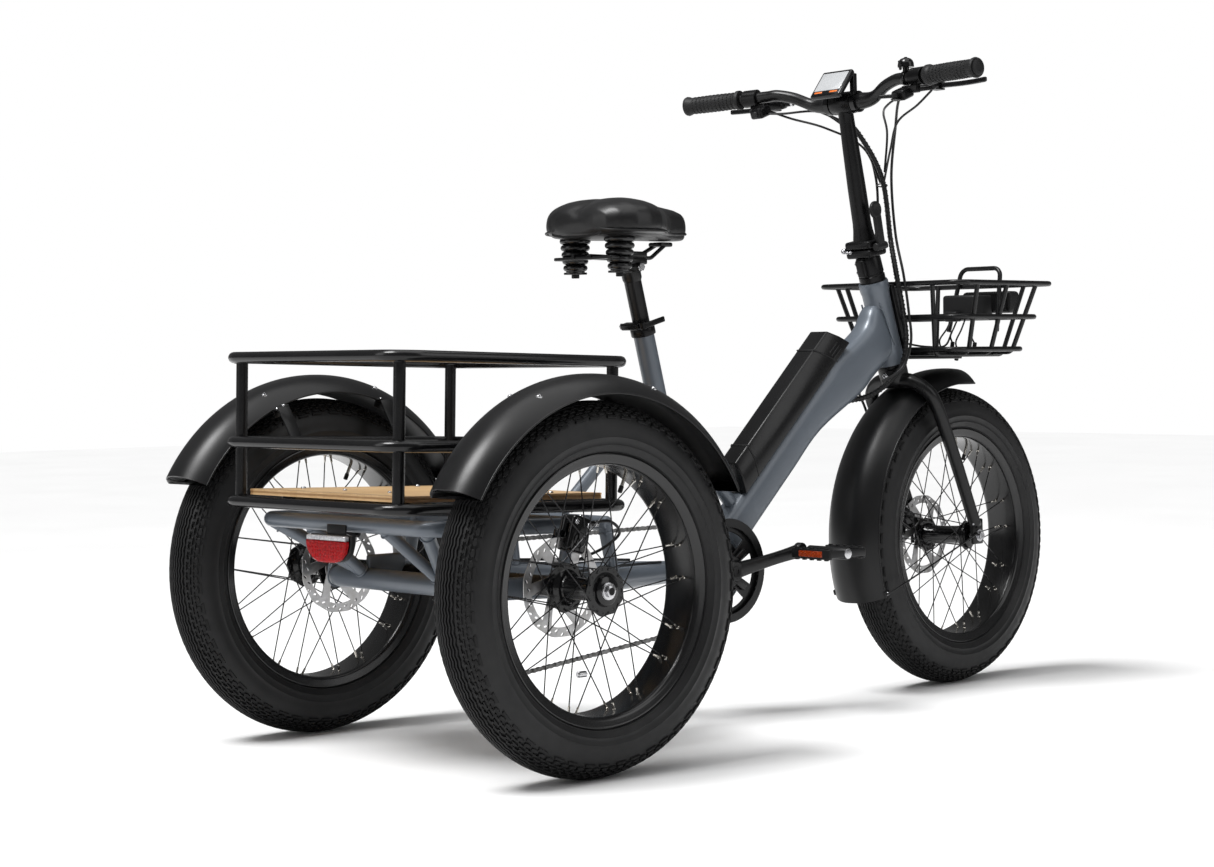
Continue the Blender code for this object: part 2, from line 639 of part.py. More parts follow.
def build_cranks():
    spindle = rod(CRANK - Vector((0.068, 0, 0)), CRANK + Vector((0.072, 0, 0)), 0.0125, 16)
    spider = rod(CRANK - Vector((0.0680, 0, 0)), CRANK - Vector((0.0525, 0, 0)), 0.0300, 20)
    boss = rod(CRANK - Vector((0.0530, 0, 0)), CRANK - Vector((0.0460, 0, 0)), 0.0195, 20)
    for side, sign in SIDES:
        inner = 0.0725 if sign > 0 else 0.0665
        tip = crank_tip(sign)
        root = CRANK + Vector((sign * (inner + 0.007), 0, 0))
        end = tip + Vector((sign * (inner + 0.017), 0, 0))
        across = (end - root).normalized()
        length = (end - root).length
        arm = block((0.0125, length, 0.026), (0, 0, 0), edge=0.003)
        arm.data.transform(Matrix.Translation((root + end) / 2)
                           @ Vector((0, 1, 0)).rotation_difference(across).to_matrix().to_4x4())
        ends = [rod(root - Vector((0.007, 0, 0)), root + Vector((0.007, 0, 0)), 0.0190, 20),
                rod(end - Vector((0.0065, 0, 0)), end + Vector((0.0065, 0, 0)), 0.0145, 16),
                rod(end, Vector((sign * (PEDAL_X + 0.045), tip.y, tip.z)), 0.0045, 12)]
        if sign < 0:
            ends += [spindle, spider, boss]
        fuse(arm, ends)
        finish(arm, f"crank_arm_{side}", "black_paint", CRANKSET)

        empty = axis_empty(f"pedal_{side}_axis", (sign * PEDAL_X, tip.y, tip.z), (1, 0, 0),
                           CRANKSET)
        centre = Vector((sign * PEDAL_X, tip.y, tip.z))
        body = block((0.096, 0.098, 0.018), centre, edge=0.003)
        gap = 0.030
        windows = [block((0.074, 0.022, 0.05), centre + Vector((0, s * gap, 0))) for s in (-1, 1)]
        barrel = rod(centre - Vector((0.048, 0, 0)), centre + Vector((0.048, 0, 0)), 0.0110, 16)
        fuse(cut(body, windows), [barrel])
        bore = rod(centre - Vector((0.06, 0, 0)), centre + Vector((0.06, 0, 0)), 0.0045 + GAP, 12)
        cut(body, [bore])
        finish(body, f"pedal_{side}", "black_plastic", empty)


# Steering

def build_fork():
    """Steerer, crown and two curved legs that reach round the fender and tyre to the axle."""
    bottom = HEAD_TOP - STEER_UP * HEAD_LENGTH
    steerer = rod(bottom - STEER_UP * 0.018, HEAD_TOP + STEER_UP * 0.030, 0.0145, 16)
    neck = rod(bottom - STEER_UP * 0.030, bottom - STEER_UP * (0.0006 + GAP), 0.0270, 20, 0.0285)
    parts = [neck]
    # each bend of a leg: distance from the wheel's plane, from the axle, and angle up from the rear
    bends = [(0.006, 0.3510, 62.7), (0.042, 0.3440, 63.0), (0.068, 0.3200, 63.3),
             (0.0755, 0.2850, 63.8), (0.0745, 0.1710, 65.5), (0.0740, 0.0250, 71.6)]
    for _, sign in SIDES:
        knots = [FRONT_AXLE + Vector((sign * x, reach * math.cos(math.radians(angle)),
                                      reach * math.sin(math.radians(angle))))
                 for x, reach, angle in bends]
        parts.append(to_mesh(tube(smooth_route(knots, 3), 0.0125, sides=1)))
        parts.append(block((0.008, 0.034, 0.050), (sign * 0.0740, -1.2845, 0.3020), edge=0.002))
    tab = block((0.007, 0.066, 0.030), (0.0800, -1.2310, 0.3440), edge=0.001)
    fork = fuse(steerer, parts + [tab])
    fuse(fork, [rod(FRONT_AXLE - Vector((0.086, 0, 0)), FRONT_AXLE + Vector((0.084, 0, 0)),
                    0.0060, 16)])
    finish(fork, "fork", "black_paint", STEERING)
    finish(caliper(FRONT_AXLE, 28, 0.0590), "front_brake_caliper", "black_paint", STEERING)


def fender_shell(centre, start, end, half_width, crown_radius):
    """A curved mudguard: an arched section swept round the wheel, as a thin shell."""
    rows, columns = 12, 4
    mesh = bpy.data.meshes.new("fender")
    shape = bmesh.new()
    grid = []
    for row in range(rows + 1):
        angle = math.radians(start + (end - start) * row / rows)
        line = []
        for column in range(columns + 1):
            across = -1 + 2 * column / columns
            radius = crown_radius - 0.030 * abs(across) ** 2.6
            line.append(shape.verts.new((centre[0] + across * half_width,
                                         centre[1] + radius * math.cos(angle),
                                         centre[2] + radius * math.sin(angle))))
        grid.append(line)
    for near, far in zip(grid, grid[1:]):
        for k in range(columns):
            shape.faces.new((near[k], near[k + 1], far[k + 1], far[k]))
    bmesh.ops.recalc_face_normals(shape, faces=shape.faces)
    shape.to_mesh(mesh)
    shape.free()
    shell = new_object("fender", mesh)
    thick = shell.modifiers.new("thickness", "SOLIDIFY")
    thick.thickness = 0.0022
    thick.offset = 0
    thick.use_even_offset = True
    return to_mesh(shell)


def build_fenders():
    front = fender_shell(FRONT_AXLE, -20, 95, FENDER_HALF_WIDTH, FENDER_RADIUS - 0.003)
    finish(front, "front_fender", "black_plastic", STEERING)
    for side, sign in SIDES:
        guard = fender_shell((sign * TRACK / 2, 0, WHEEL_RADIUS), 30, 152, FENDER_HALF_WIDTH,
                             FENDER_RADIUS)
        for y in (-0.100, 0.120):
            height = WHEEL_RADIUS + math.sqrt(0.3050 ** 2 - y ** 2)
            fuse(guard, [block((0.056, 0.022, 0.0035), (sign * 0.2760, y, height + 0.004))])
        finish(guard, f"rear_fender_{side}", "black_plastic", DATUM)


def build_stem():
    """Collar and lower hinge half on the steerer, then the folding tube with the bar's clamp."""
    base = rod(HEAD_TOP + STEER_UP * 0.0006, HEAD_TOP + STEER_UP * 0.052, 0.0250, 20)
    plate_centre = STEM_FOOT - STEM_UP * 0.0085
    tilt = -math.degrees(math.atan2(STEM_UP.y, STEM_UP.z))
    fuse(base, [block((0.060, 0.054, 0.016), plate_centre, (tilt, 0, 0), 0.003)])
    cut(base, [rod(HEAD_TOP - STEER_UP * 0.01, HEAD_TOP + STEER_UP * 0.0305, 0.0145 + GAP, 20)])
    finish(base, "stem_base", "black_paint", STEERING)

    top_plate = block((0.060, 0.054, 0.016), STEM_FOOT + STEM_UP * 0.0085, (tilt, 0, 0), 0.003)
    column = rod(STEM_FOOT + STEM_UP * 0.012, STEM_TOP - STEM_UP * 0.010, 0.0180, 20, 0.0140)
    clamp = rod(STEM_TOP - Vector((0.024, 0, 0)), STEM_TOP + Vector((0.024, 0, 0)), 0.0215, 20)
    fuse(top_plate, [column, clamp])
    cut(top_plate, [rod(STEM_TOP - Vector((0.05, 0, 0)), STEM_TOP + Vector((0.05, 0, 0)),
                        0.0159 + GAP, 20)])
    finish(top_plate, "folding_stem", "black_paint", STEM)

    pivot = STEM_FOOT + Vector((-0.0390, 0.004, 0.002))
    empty = axis_empty("fold_lever_axis", pivot, STEM_FORWARD, STEM)
    lever = rod(pivot - STEM_FORWARD * 0.016, pivot + STEM_FORWARD * 0.016, 0.0075, 16)
    arm = block((0.006, 0.016, 0.062), pivot + STEM_UP * 0.033 + Vector((-0.003, 0, 0)),
                (tilt, 0, 0), 0.0015)
    paddle = rod(pivot + STEM_UP * 0.070 + Vector((-0.006, 0.004, 0)),
                 pivot + STEM_UP * 0.070 + Vector((0, 0.004, 0)), 0.0165, 20)
    finish(fuse(lever, [arm, paddle]), "stem_fold_lever", "black_plastic", empty)


BAR_HALF = 0.350
BELL_X = -0.169
POD = (0.030, 0.010, -0.030)          # the switch pod's place from the brake perch
POD_TURN = Matrix.Rotation(math.radians(-20), 4, "X")
TRIGGER = Vector((0, 0.026, -0.006))   # the gear trigger's pivot from its pod
BAR_END = Vector((BAR_HALF, -0.932, 1.1615))
BAR_BEND = Vector((0.143, -0.9650, 1.1640))        # where the outer stretch runs straight from


def bar_ends(sign):
    """Where the straight outer stretch of the bar starts and ends."""
    return (Vector((BAR_BEND.x * sign, *BAR_BEND.yz)), Vector((BAR_END.x * sign, *BAR_END.yz)))


def bar_route():
    """The right half of the bar's middle line, from the stem outwards."""
    inner, outer = bar_ends(-1)
    bends = [Vector((-0.010, *STEM_TOP.yz)), Vector((-0.038, *STEM_TOP.yz)),
             Vector((-0.072, -0.9870, 1.1395)), Vector((-0.110, -0.9740, 1.1560)),
             inner, inner.lerp(outer, 0.10)]
    return smooth_route(bends, 3) + [outer]


def bar_frame(x):
    """A point on the straight outer stretch of the bar and the bar's outward direction there."""
    sign = 1 if x > 0 else -1
    inner, outer = bar_ends(sign)
    direction = (outer - inner).normalized()
    return inner + direction * (abs(x) - abs(inner.x)) / abs(direction.x), direction


def sleeve_on_bar(x, length, radius):
    """A solid sleeve round the bar at x. The bar's bore is cut once the sleeve is complete."""
    point, along = bar_frame(x)
    return rod(point - along * length / 2, point + along * length / 2, radius, 14)


def bore_for_bar(obj, x):
    point, along = bar_frame(x)
    return cut(obj, [rod(point - along * 0.08, point + along * 0.08, 0.0111 + 2 * GAP, 14)])


def build_handlebar():
    half = bar_route()
    mirrored = [Vector((-point.x, point.y, point.z)) for point in half]
    bar = to_mesh(tube(half[::-1] + mirrored, 0.0111, sides=2))
    fuse(bar, [rod(STEM_TOP - Vector((0.040, 0, 0)), STEM_TOP + Vector((0.040, 0, 0)),
                   0.0159, 20)])
    finish(bar, "handlebar", "black_paint", STEM)
    for side, sign in SIDES:
        grip = bore_for_bar(sleeve_on_bar(sign * 0.2870, 0.125, 0.0165), sign * 0.2870)
        finish(grip, f"grip_{side}", "rubber", STEM)
        perch_point, _ = bar_frame(sign * 0.2010)
        perch = sleeve_on_bar(sign * 0.2010, 0.030, 0.0170)
        body = block((0.026, 0.036, 0.018), perch_point + Vector((0, -0.030, -0.006)),
                     (-14, 0, 0), 0.003)
        reservoir = block((0.052, 0.022, 0.018), perch_point + Vector((-sign * 0.020, -0.046, -0.012)),
                          (-14, 0, 0), 0.004)
        fuse(perch, [body, reservoir])
        pod = block((0.030, 0.034, 0.020), perch_point + Vector((-sign * POD[0], *POD[1:])),
                    (-20, 0, 0), 0.004)
        bridge = block((0.036, 0.0125, 0.0150), perch_point + Vector((-sign * 0.018, 0.000, -0.0220)),
                       (0, 0, 0), 0.001)
        pivot = perch_point + Vector((-sign * 0.004, -0.066, -0.012))
        clevis = block((0.020, 0.026, 0.0170), pivot + Vector((0, 0.0040, 0)), edge=0.001)
        cut(clevis, [block((0.06, 0.040, 0.0098), pivot + Vector((0, -0.0128, 0)))])
        pin = rod(pivot - Vector((0, 0, 0.007)), pivot + Vector((0, 0, 0.007)), 0.0025, 8)
        fuse(perch, [bridge, pod, clevis, pin])
        centre = perch_point + Vector((-sign * POD[0], *POD[1:]))
        if sign > 0:
            out = POD_TURN @ Vector((0, 1, 0))
            cut(perch, [rod(centre + out * 0.0132, centre + out * 0.030, 0.0062 + GAP, 12)])
        else:
            fuse(perch, [block((0.012, 0.024, 0.003), centre + TRIGGER + Vector((0, -0.008, -0.0056)))])
        bore_for_bar(perch, sign * 0.2010)
        finish(perch, f"brake_master_{side}", "black_paint", STEM)

        empty = axis_empty(f"brake_lever_{side}_axis", pivot, (0, 0, 1), STEM)
        finish(brake_lever(pivot, sign), f"brake_lever_{side}", "black_paint", empty)


def brake_lever(pivot, sign):
    """A two-finger blade that sweeps outward in front of the grip."""
    outline = [(-0.010, -0.0070), (0.012, -0.0095), (0.045, -0.0150), (0.085, -0.0100),
               (0.108, -0.0020), (0.112, 0.0050), (0.104, 0.0060), (0.082, -0.0010),
               (0.045, -0.0045), (0.012, 0.0030), (-0.010, 0.0050)]
    blade = plate([(sign * x, y) for x, y in outline][::sign], 0.009, sideways=0)
    blade.data.transform(Matrix.Translation(pivot))
    lever = to_mesh(bevel(blade, 0.0015))
    return cut(lever, [rod(pivot - UP * 0.02, pivot + UP * 0.02, 0.0025 + GAP, 8)])


def build_controls():
    """Display, bell, gear trigger and assist button on the bar."""
    centre = STEM_TOP + Vector((0, 0.0350, 0.0325))
    display = block((0.072, 0.069, 0.012), centre, (-48.8, 0, 0), 0.004)
    arms = [block((0.010, 0.012, 0.044), STEM_TOP + Vector((sign * 0.0315, 0.0110, 0.0310)),
                  edge=0.001) for _, sign in SIDES]
    cut(fuse(display, arms), [rod(STEM_TOP - Vector((0.1, 0, 0)), STEM_TOP + Vector((0.1, 0, 0)),
                                  0.0159 + GAP, 20)])
    finish(display, "display", "black_plastic", STEM)

    point, _ = bar_frame(BELL_X)
    bell = sleeve_on_bar(BELL_X, 0.010, 0.0135)
    top = point + Vector((0, 0, 0.0130))
    fuse(bell, [rod(top - Vector((0, 0, 0.003)), top + Vector((0, 0, 0.0095)), 0.0080, 12),
                turned([(0, 0.018), (0.008, 0.0165), (0.0135, 0.0120), (0.0150, 0.0040),
                        (0.0150, 0.0), (0, 0.0)], 16, top + Vector((0, 0, 0.007)), (0, 0, 1), False)])
    bore_for_bar(bell, BELL_X)
    finish(bell, "bell", "black_plastic", STEM)
    pivot = top + Vector((0, 0.0185, 0.0095))
    empty = axis_empty("bell_striker_axis", pivot, (1, 0, 0), STEM)
    striker = block((0.005, 0.004, 0.018), pivot, (-12, 0, 0), 0.001)
    finish(striker, "bell_striker", "black_plastic", empty)

    for side, sign, name in (("right", -1, "gear_trigger"), ("left", 1, "assist_button")):
        perch_point, _ = bar_frame(sign * 0.2010)
        pod = perch_point + Vector((-sign * POD[0], *POD[1:]))
        if side == "right":
            pivot = pod + TRIGGER
            empty = axis_empty(f"{name}_axis", pivot, (0, 0, 1), STEM)
            paddle = block((0.034, 0.008, 0.007), pivot + Vector((0.010, 0.006, 0)), (0, 0, 28),
                           0.002)
            finish(paddle, name, "black_plastic", empty)
        else:
            out = POD_TURN @ Vector((0, 1, 0))
            face = pod + out * 0.0156
            empty = axis_empty(f"{name}_axis", face, out, STEM)
            finish(rod(face, face + out * 0.0048, 0.0062, 12), name, "rubber", empty)


# Seat

def build_seat():
    collar = rod(SEAT_CLAMP - SEAT_UP * 0.0035, SEAT_CLAMP + SEAT_UP * 0.013, 0.0215, 20)
    ear = block((0.044, 0.018, 0.012), SEAT_CLAMP + Vector((0.0, 0.027, 0.012)), (-15, 0, 0), 0.001)
    fuse(collar, [ear])
    cut(collar, [rod(SEAT_CLAMP - SEAT_UP * 0.05, SEAT_CLAMP + SEAT_UP * 0.05, 0.0155 + GAP, 20)])
    finish(collar, "seat_clamp_collar", "black_paint", DATUM)
    pivot = SEAT_CLAMP + Vector((-0.0290, 0.028, 0.0125))
    empty = axis_empty("seat_clamp_lever_axis", pivot, SEAT_UP, DATUM)
    lever = rod(pivot - SEAT_UP * 0.006, pivot + SEAT_UP * 0.006, 0.0055, 14)
    fuse(lever, [block((0.0045, 0.050, 0.010), pivot + Vector((-0.0040, -0.0240, 0.0062)),
                       (-15, 0, 0), 0.001)])
    finish(lever, "seat_clamp_lever", "black_paint", empty)

    top = SEAT_CLAMP + SEAT_UP * 0.125
    post = rod(SEAT_CLAMP - SEAT_UP * 0.170, top, 0.0155, 20)
    rails = []
    for _, sign in SIDES:
        x = sign * 0.0220
        route = rounded([(x, -0.310, 0.8300), (x, -0.375, 0.8290), (x, -0.455, 0.8290),
                         (sign * 0.012, -0.500, 0.8540)], 0.02, 3)
        rails.append(to_mesh(tube(route, 0.0035, sides=1)))
    clamp = block((0.060, 0.042, 0.022), (0, top.y + 0.002, 0.8290), edge=0.004)
    cross = block((0.150, 0.020, 0.006), (0, -0.322, 0.8270), edge=0.001)
    nose_pad = block((0.034, 0.030, 0.008), (0, -0.500, 0.8545), edge=0.002)
    finish(fuse(post, [clamp, *rails, cross, nose_pad]), "seat_post", "black_paint", SEAT)

    pivot = (0, -0.500, 0.8600)
    empty = axis_empty("saddle_axis", pivot, (1, 0, 0), SEAT)
    finish(saddle_body(), "saddle", "saddle_cover", empty)


def saddle_body():
    """A wide sprung saddle: an outline that narrows to the nose, domed by subdivision."""
    rows = [(-0.292, 0.060), (-0.330, 0.112), (-0.385, 0.124), (-0.430, 0.098), (-0.470, 0.052),
            (-0.520, 0.030), (-0.553, 0.018)]
    mesh = bpy.data.meshes.new("saddle")
    shape = bmesh.new()
    rings = []
    for y, half in rows:
        dome = 0.9290 - 0.30 * abs(y + 0.40) ** 1.5
        low = 0.8670
        ring = [(-half, low + 0.012), (-half * 0.96, dome - 0.016), (-half * 0.5, dome + 0.006),
                (half * 0.5, dome + 0.006), (half * 0.96, dome - 0.016), (half, low + 0.012),
                (half * 0.6, low), (-half * 0.6, low)]
        rings.append([shape.verts.new((x, y, z)) for x, z in ring])
    for near, far in zip(rings, rings[1:]):
        for k in range(8):
            shape.faces.new((near[k], far[k], far[(k + 1) % 8], near[(k + 1) % 8]))
    shape.faces.new(rings[0])
    shape.faces.new(rings[-1][::-1])
    bmesh.ops.recalc_face_normals(shape, faces=shape.faces)
    shape.to_mesh(mesh)
    shape.free()
    obj = new_object("saddle", mesh)
    soft = obj.modifiers.new("soft", "SUBSURF")
    soft.levels = soft.render_levels = 1
    return to_mesh(obj)


# Load carriers

def build_rack():
    """Three rail loops on four posts, with a wooden deck between them."""
    heights = (0.0, 0.0970, 0.2355)
    corners = [(RACK_HALF_WIDTH, RACK_HALF_LENGTH), (-RACK_HALF_WIDTH, RACK_HALF_LENGTH),
               (-RACK_HALF_WIDTH, -RACK_HALF_LENGTH), (RACK_HALF_WIDTH, -RACK_HALF_LENGTH)]
    loops = []
    for height in heights:
        route = rounded([(x, y, height) for x, y in corners], 0.048, 2, closed=True)
        loops.append(to_mesh(tube(route, RACK_RAIL, closed=True, sides=1)))
    posts = []
    for sign_x in (-1, 1):
        for sign_y in (-1, 1):
            x, y = sign_x * (RACK_HALF_WIDTH - 0.0235), sign_y * (RACK_HALF_LENGTH - 0.0235)
            posts.append(rod((x, y, -0.006), (x, y, heights[2] + 0.004), 0.0095, 8))
    bars = [rod((-RACK_HALF_WIDTH, y, -0.001), (RACK_HALF_WIDTH, y, -0.001), 0.0070, 8)
            for y in (-0.120, 0.120)]
    rack = fuse(loops[0], posts + loops[1:] + bars)
    place = Matrix.Translation((0, RACK_Y, RACK_Z)) @ Matrix.Rotation(RACK_TILT, 4, "X")
    rack.data.transform(place)
    finish(rack, "cargo_rack", "black_paint", DATUM)

    deck = block((0.400, 0.412, 0.0100), (0, 0, 0.0152), edge=0.0015)
    notch = [rod((sx * 0.2125, sy * 0.2195, -0.02), (sx * 0.2125, sy * 0.2195, 0.05), 0.016, 16)
             for sx in (-1, 1) for sy in (-1, 1)]
    cut(deck, notch)
    deck.data.transform(place)
    finish(deck, "cargo_deck", "wood", DATUM)


BASKET_Y = -1.250
BASKET_TOP = (0.185, 0.1435, 0.7915)   # half width, half length, height
BASKET_MIDDLE = (0.163, 0.124, 0.7270)
BASKET_FLOOR = (0.142, 0.106, 0.6640)


def build_basket():
    """A tapered basket of bent rod on the head tube, with a floor plate and a bracket."""
    wire = 0.0050
    parts = []
    for half_x, half_y, z in (BASKET_TOP, BASKET_MIDDLE, BASKET_FLOOR):
        corners = [(half_x, BASKET_Y + half_y, z), (-half_x, BASKET_Y + half_y, z),
                   (-half_x, BASKET_Y - half_y, z), (half_x, BASKET_Y - half_y, z)]
        route = rounded(corners, 0.030, 2, closed=True)
        parts.append(to_mesh(tube(route, wire, closed=True, sides=1)))
    for share in (-0.62, 0.0, 0.62):
        route = [(sign * (half_x - 0.004), BASKET_Y + share * half_y, z - drop)
                 for sign, levels in ((1, (BASKET_TOP, BASKET_FLOOR)),
                                      (-1, (BASKET_FLOOR, BASKET_TOP)))
                 for half_x, half_y, z in levels
                 for drop in ((0.0,) if z > 0.7 else (0.006,))]
        parts.append(to_mesh(tube(rounded(route, 0.015, 1), wire * 0.9, sides=0)))
    for share in (-0.60, 0.60):
        route = [(share * half_x, BASKET_Y + sign * (half_y - 0.004), z - drop)
                 for sign, levels in ((1, (BASKET_TOP, BASKET_FLOOR)),
                                      (-1, (BASKET_FLOOR, BASKET_TOP)))
                 for half_x, half_y, z in levels
                 for drop in ((0.0,) if z > 0.7 else (0.010,))]
        parts.append(to_mesh(tube(rounded(route, 0.015, 1), wire * 0.9, sides=0)))
    top_y = BASKET_Y - BASKET_TOP[1]
    hoop = rounded([(0.062, -1.364, 0.7000), (0.050, top_y + 0.002, 0.8270),
                    (-0.050, top_y + 0.002, 0.8270), (-0.062, -1.364, 0.7000)], 0.018, 3)
    parts.append(to_mesh(tube(hoop, wire * 0.9, sides=1)))
    floor = block((0.120, 0.190, 0.004), (0, BASKET_Y, 0.6580))
    bracket = block((0.052, 0.010, 0.150), (0, -1.1150, 0.7200), (-18, 0, 0), 0.002)
    arm = block((0.052, 0.170, 0.006), (0, -1.2150, 0.6490), edge=0.001)
    web = block((0.040, 0.030, 0.030), (0, -1.1330, 0.6600), edge=0.001)
    basket = fuse(floor, [*parts, bracket, arm, web])
    cut(basket, [rod(HEAD_TOP - STEER_UP * 0.25, HEAD_TOP + STEER_UP * 0.05, 0.0305, 24)])
    finish(basket, "front_basket", "black_paint", DATUM)


def build_lights():
    front = BASKET_Y - BASKET_TOP[1] - 0.009
    housing = block((0.125, 0.034, 0.044), (0, front - 0.019, 0.7590), edge=0.006)
    tab = block((0.030, 0.010, 0.030), (0, front - 0.003, 0.7450))
    cut(fuse(housing, [tab]), [block((0.112, 0.008, 0.032), (0, front - 0.035, 0.7590))])
    finish(housing, "headlight_housing", "black_plastic", DATUM)

    outline = [(-0.055, 0.020), (0.055, 0.020), (0.052, -0.006), (0.022, -0.024), (-0.022, -0.024),
               (-0.052, -0.006)]
    lens = plate(outline, 0.022, sideways=0)
    lens.data.transform(Matrix.Translation((0, 0.2310, 0.3560)) @ Matrix.Rotation(math.pi / 2, 4, "X"))
    finish(to_mesh(bevel(lens, 0.003)), "rear_light", "red_lens", DATUM)


def battery_outline():
    """The battery's section as (x, height above the down tube)."""
    return [(-0.0300, 0.0), (0.0300, 0.0), (0.0310, 0.030), (0.0215, 0.055), (-0.0215, 0.055),
            (-0.0310, 0.030)]


def build_battery():
    """A pack with chamfered ends that lifts off the down tube."""
    low, height = 0.098, DOWN_TUBE_HEIGHT + GAP
    slope = DOWN_TUBE_SLOPE
    up_slope = Vector((0, -math.cos(slope), math.sin(slope)))
    out = Vector((0, math.sin(slope), math.cos(slope)))
    y, z = along_down_tube(low, height)
    origin = Vector((0, y, z))
    mesh = bpy.data.meshes.new("battery")
    shape = bmesh.new()
    rings = []
    for s, lean in ((0.0, 0.45), (BATTERY_LENGTH, -0.45)):
        ring = [shape.verts.new(origin + Vector((x, 0, 0)) + out * h + up_slope * (s + lean * h))
                for x, h in battery_outline()]
        rings.append(ring)
    for k in range(6):
        shape.faces.new((rings[0][k], rings[0][(k + 1) % 6], rings[1][(k + 1) % 6], rings[1][k]))
    shape.faces.new(rings[0][::-1])
    shape.faces.new(rings[1])
    bmesh.ops.recalc_face_normals(shape, faces=shape.faces)
    shape.to_mesh(mesh)
    shape.free()
    empty = axis_empty("battery_axis", origin, out, DATUM)
    battery = to_mesh(bevel(new_object("battery", mesh), 0.003))
    finish(battery, "battery", "black_plastic", empty)


# Cables that the tricycle holds from end to end

def steered(point):
    """Where a point of the bar or fork stands once the steering is turned to rest."""
    turn = Matrix.Rotation(REST_STEER, 4, STEER_UP)
    return turn @ (Vector(point) - HEAD_TOP) + HEAD_TOP


def build_cables():
    hose = 0.0026
    left, _ = bar_frame(0.2010)
    right, _ = bar_frame(-0.2010)
    front_hose = [left + Vector((-0.0490, -0.047, -0.012)), left + Vector((-0.065, -0.050, -0.012)),
                  left + Vector((-0.105, -0.078, -0.030)), (0.045, -1.090, 1.090),
                  (0.020, -1.110, 1.000), (0.022, -1.108, 0.890), (0.040, -1.094, 0.810),
                  (0.047, -1.104, 0.740), (0.052, -1.116, 0.680), (0.068, -1.116, 0.620),
                  (0.084, -1.122, 0.585), (0.086, -1.143, 0.550), (0.080, -1.185, 0.450),
                  (0.068, -1.1762, 0.3560)]
    finish(tube(front_hose, hose, sides=1, smooth=2), "front_brake_hose", "rubber", STEERING)
    rear_hose = [steered(right + Vector(step)) for step in
                 ((0.0490, -0.047, -0.012), (0.065, -0.050, -0.012), (0.105, -0.078, -0.030))]
    rear_hose += [steered(p) for p in ((-0.045, -1.090, 1.090), (-0.016, -1.112, 1.000),
                                       (-0.028, -1.104, 0.890))]
    rear_hose += [(-0.058, -1.088, 0.810), (-0.060, -1.100, 0.740), (-0.057, -1.110, 0.680),
                  (-0.048, -1.095, 0.630), (-0.036, -1.050, 0.603)]
    finish(tube(rear_hose, hose, sides=1, smooth=3), "rear_brake_hose", "rubber", DATUM)
    harness = [steered(p) for p in ((0.030, -1.020, 1.112), (0.022, -1.060, 1.085),
                                    (0.002, -1.105, 1.000), (0.002, -1.128, 0.880))]
    harness += [(-0.040, -1.091, 0.800), (-0.044, -1.102, 0.740), (-0.042, -1.113, 0.680),
                (-0.034, -1.102, 0.625), (-0.014, -1.050, 0.580), (0.0, -0.985, 0.5660)]
    finish(tube(harness, 0.0045, sides=1, smooth=3), "wiring_harness", "rubber", DATUM)


build_main_frame()
build_rear_subframe()
build_rear_axle()
build_wheels()
build_drive()
build_cranks()
build_fork()
build_fenders()
build_stem()
build_handlebar()
build_controls()
build_seat()
build_rack()
build_basket()
build_lights()
build_battery()
build_cables()
STEERING.matrix_basis = REST["steering_axis"] @ Matrix.Rotation(REST_STEER, 4, "Z")
DATUM.location = (0, REAR_AXLE_Y, 0)
bpy.context.view_layer.update()
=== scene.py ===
"""The looks of an adult electric tricycle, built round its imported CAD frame.

Metres, +Z up, front towards -Y, the rider's left towards +X. Pieces are drawn in the bike's own
frame, whose y is measured from the rear axle; BIKE and STEERED put them in the CAD's frame.
"""
import json
import math

import bmesh
import bpy
from mathutils import Matrix, Vector

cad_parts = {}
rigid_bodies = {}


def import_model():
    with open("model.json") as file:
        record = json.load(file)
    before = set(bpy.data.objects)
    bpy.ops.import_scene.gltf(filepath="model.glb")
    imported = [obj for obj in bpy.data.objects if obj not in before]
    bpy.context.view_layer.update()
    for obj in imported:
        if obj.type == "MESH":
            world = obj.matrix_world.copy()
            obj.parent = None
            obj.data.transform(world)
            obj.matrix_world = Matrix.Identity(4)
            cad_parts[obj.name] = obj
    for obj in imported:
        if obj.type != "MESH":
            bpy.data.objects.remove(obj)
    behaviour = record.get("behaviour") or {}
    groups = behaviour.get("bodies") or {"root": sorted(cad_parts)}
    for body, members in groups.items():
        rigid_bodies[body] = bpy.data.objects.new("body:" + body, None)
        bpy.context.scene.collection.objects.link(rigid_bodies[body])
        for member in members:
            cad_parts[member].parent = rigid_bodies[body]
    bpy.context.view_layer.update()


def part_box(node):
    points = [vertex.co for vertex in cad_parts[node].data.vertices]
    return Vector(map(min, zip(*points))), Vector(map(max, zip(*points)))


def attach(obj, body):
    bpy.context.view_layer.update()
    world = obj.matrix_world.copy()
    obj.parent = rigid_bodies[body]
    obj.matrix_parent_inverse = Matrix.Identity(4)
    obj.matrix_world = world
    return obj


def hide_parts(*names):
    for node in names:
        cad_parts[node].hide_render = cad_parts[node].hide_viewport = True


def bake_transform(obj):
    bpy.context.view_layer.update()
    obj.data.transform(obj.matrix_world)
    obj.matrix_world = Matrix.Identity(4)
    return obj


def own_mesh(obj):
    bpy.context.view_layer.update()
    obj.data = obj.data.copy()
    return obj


for old in list(bpy.data.objects):
    bpy.data.objects.remove(old, do_unlink=True)
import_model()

HEAD_ANGLE = math.radians(18.0)
SEAT_ANGLE = math.radians(15.0)
REST_STEER = math.radians(4.74)
STEER_UP = Vector((0, math.sin(HEAD_ANGLE), math.cos(HEAD_ANGLE)))
SEAT_UP = Vector((0, math.sin(SEAT_ANGLE), math.cos(SEAT_ANGLE)))
HEAD_TOP = Vector((0, -1.065, 0.798))
HEAD_BOTTOM = HEAD_TOP - STEER_UP * 0.1755
STEM_FOOT = Vector((0, -1.045, 0.8605))
STEM_TOP = Vector((0, -0.990, 1.1365))
STEM_UP = (STEM_TOP - STEM_FOOT).normalized()
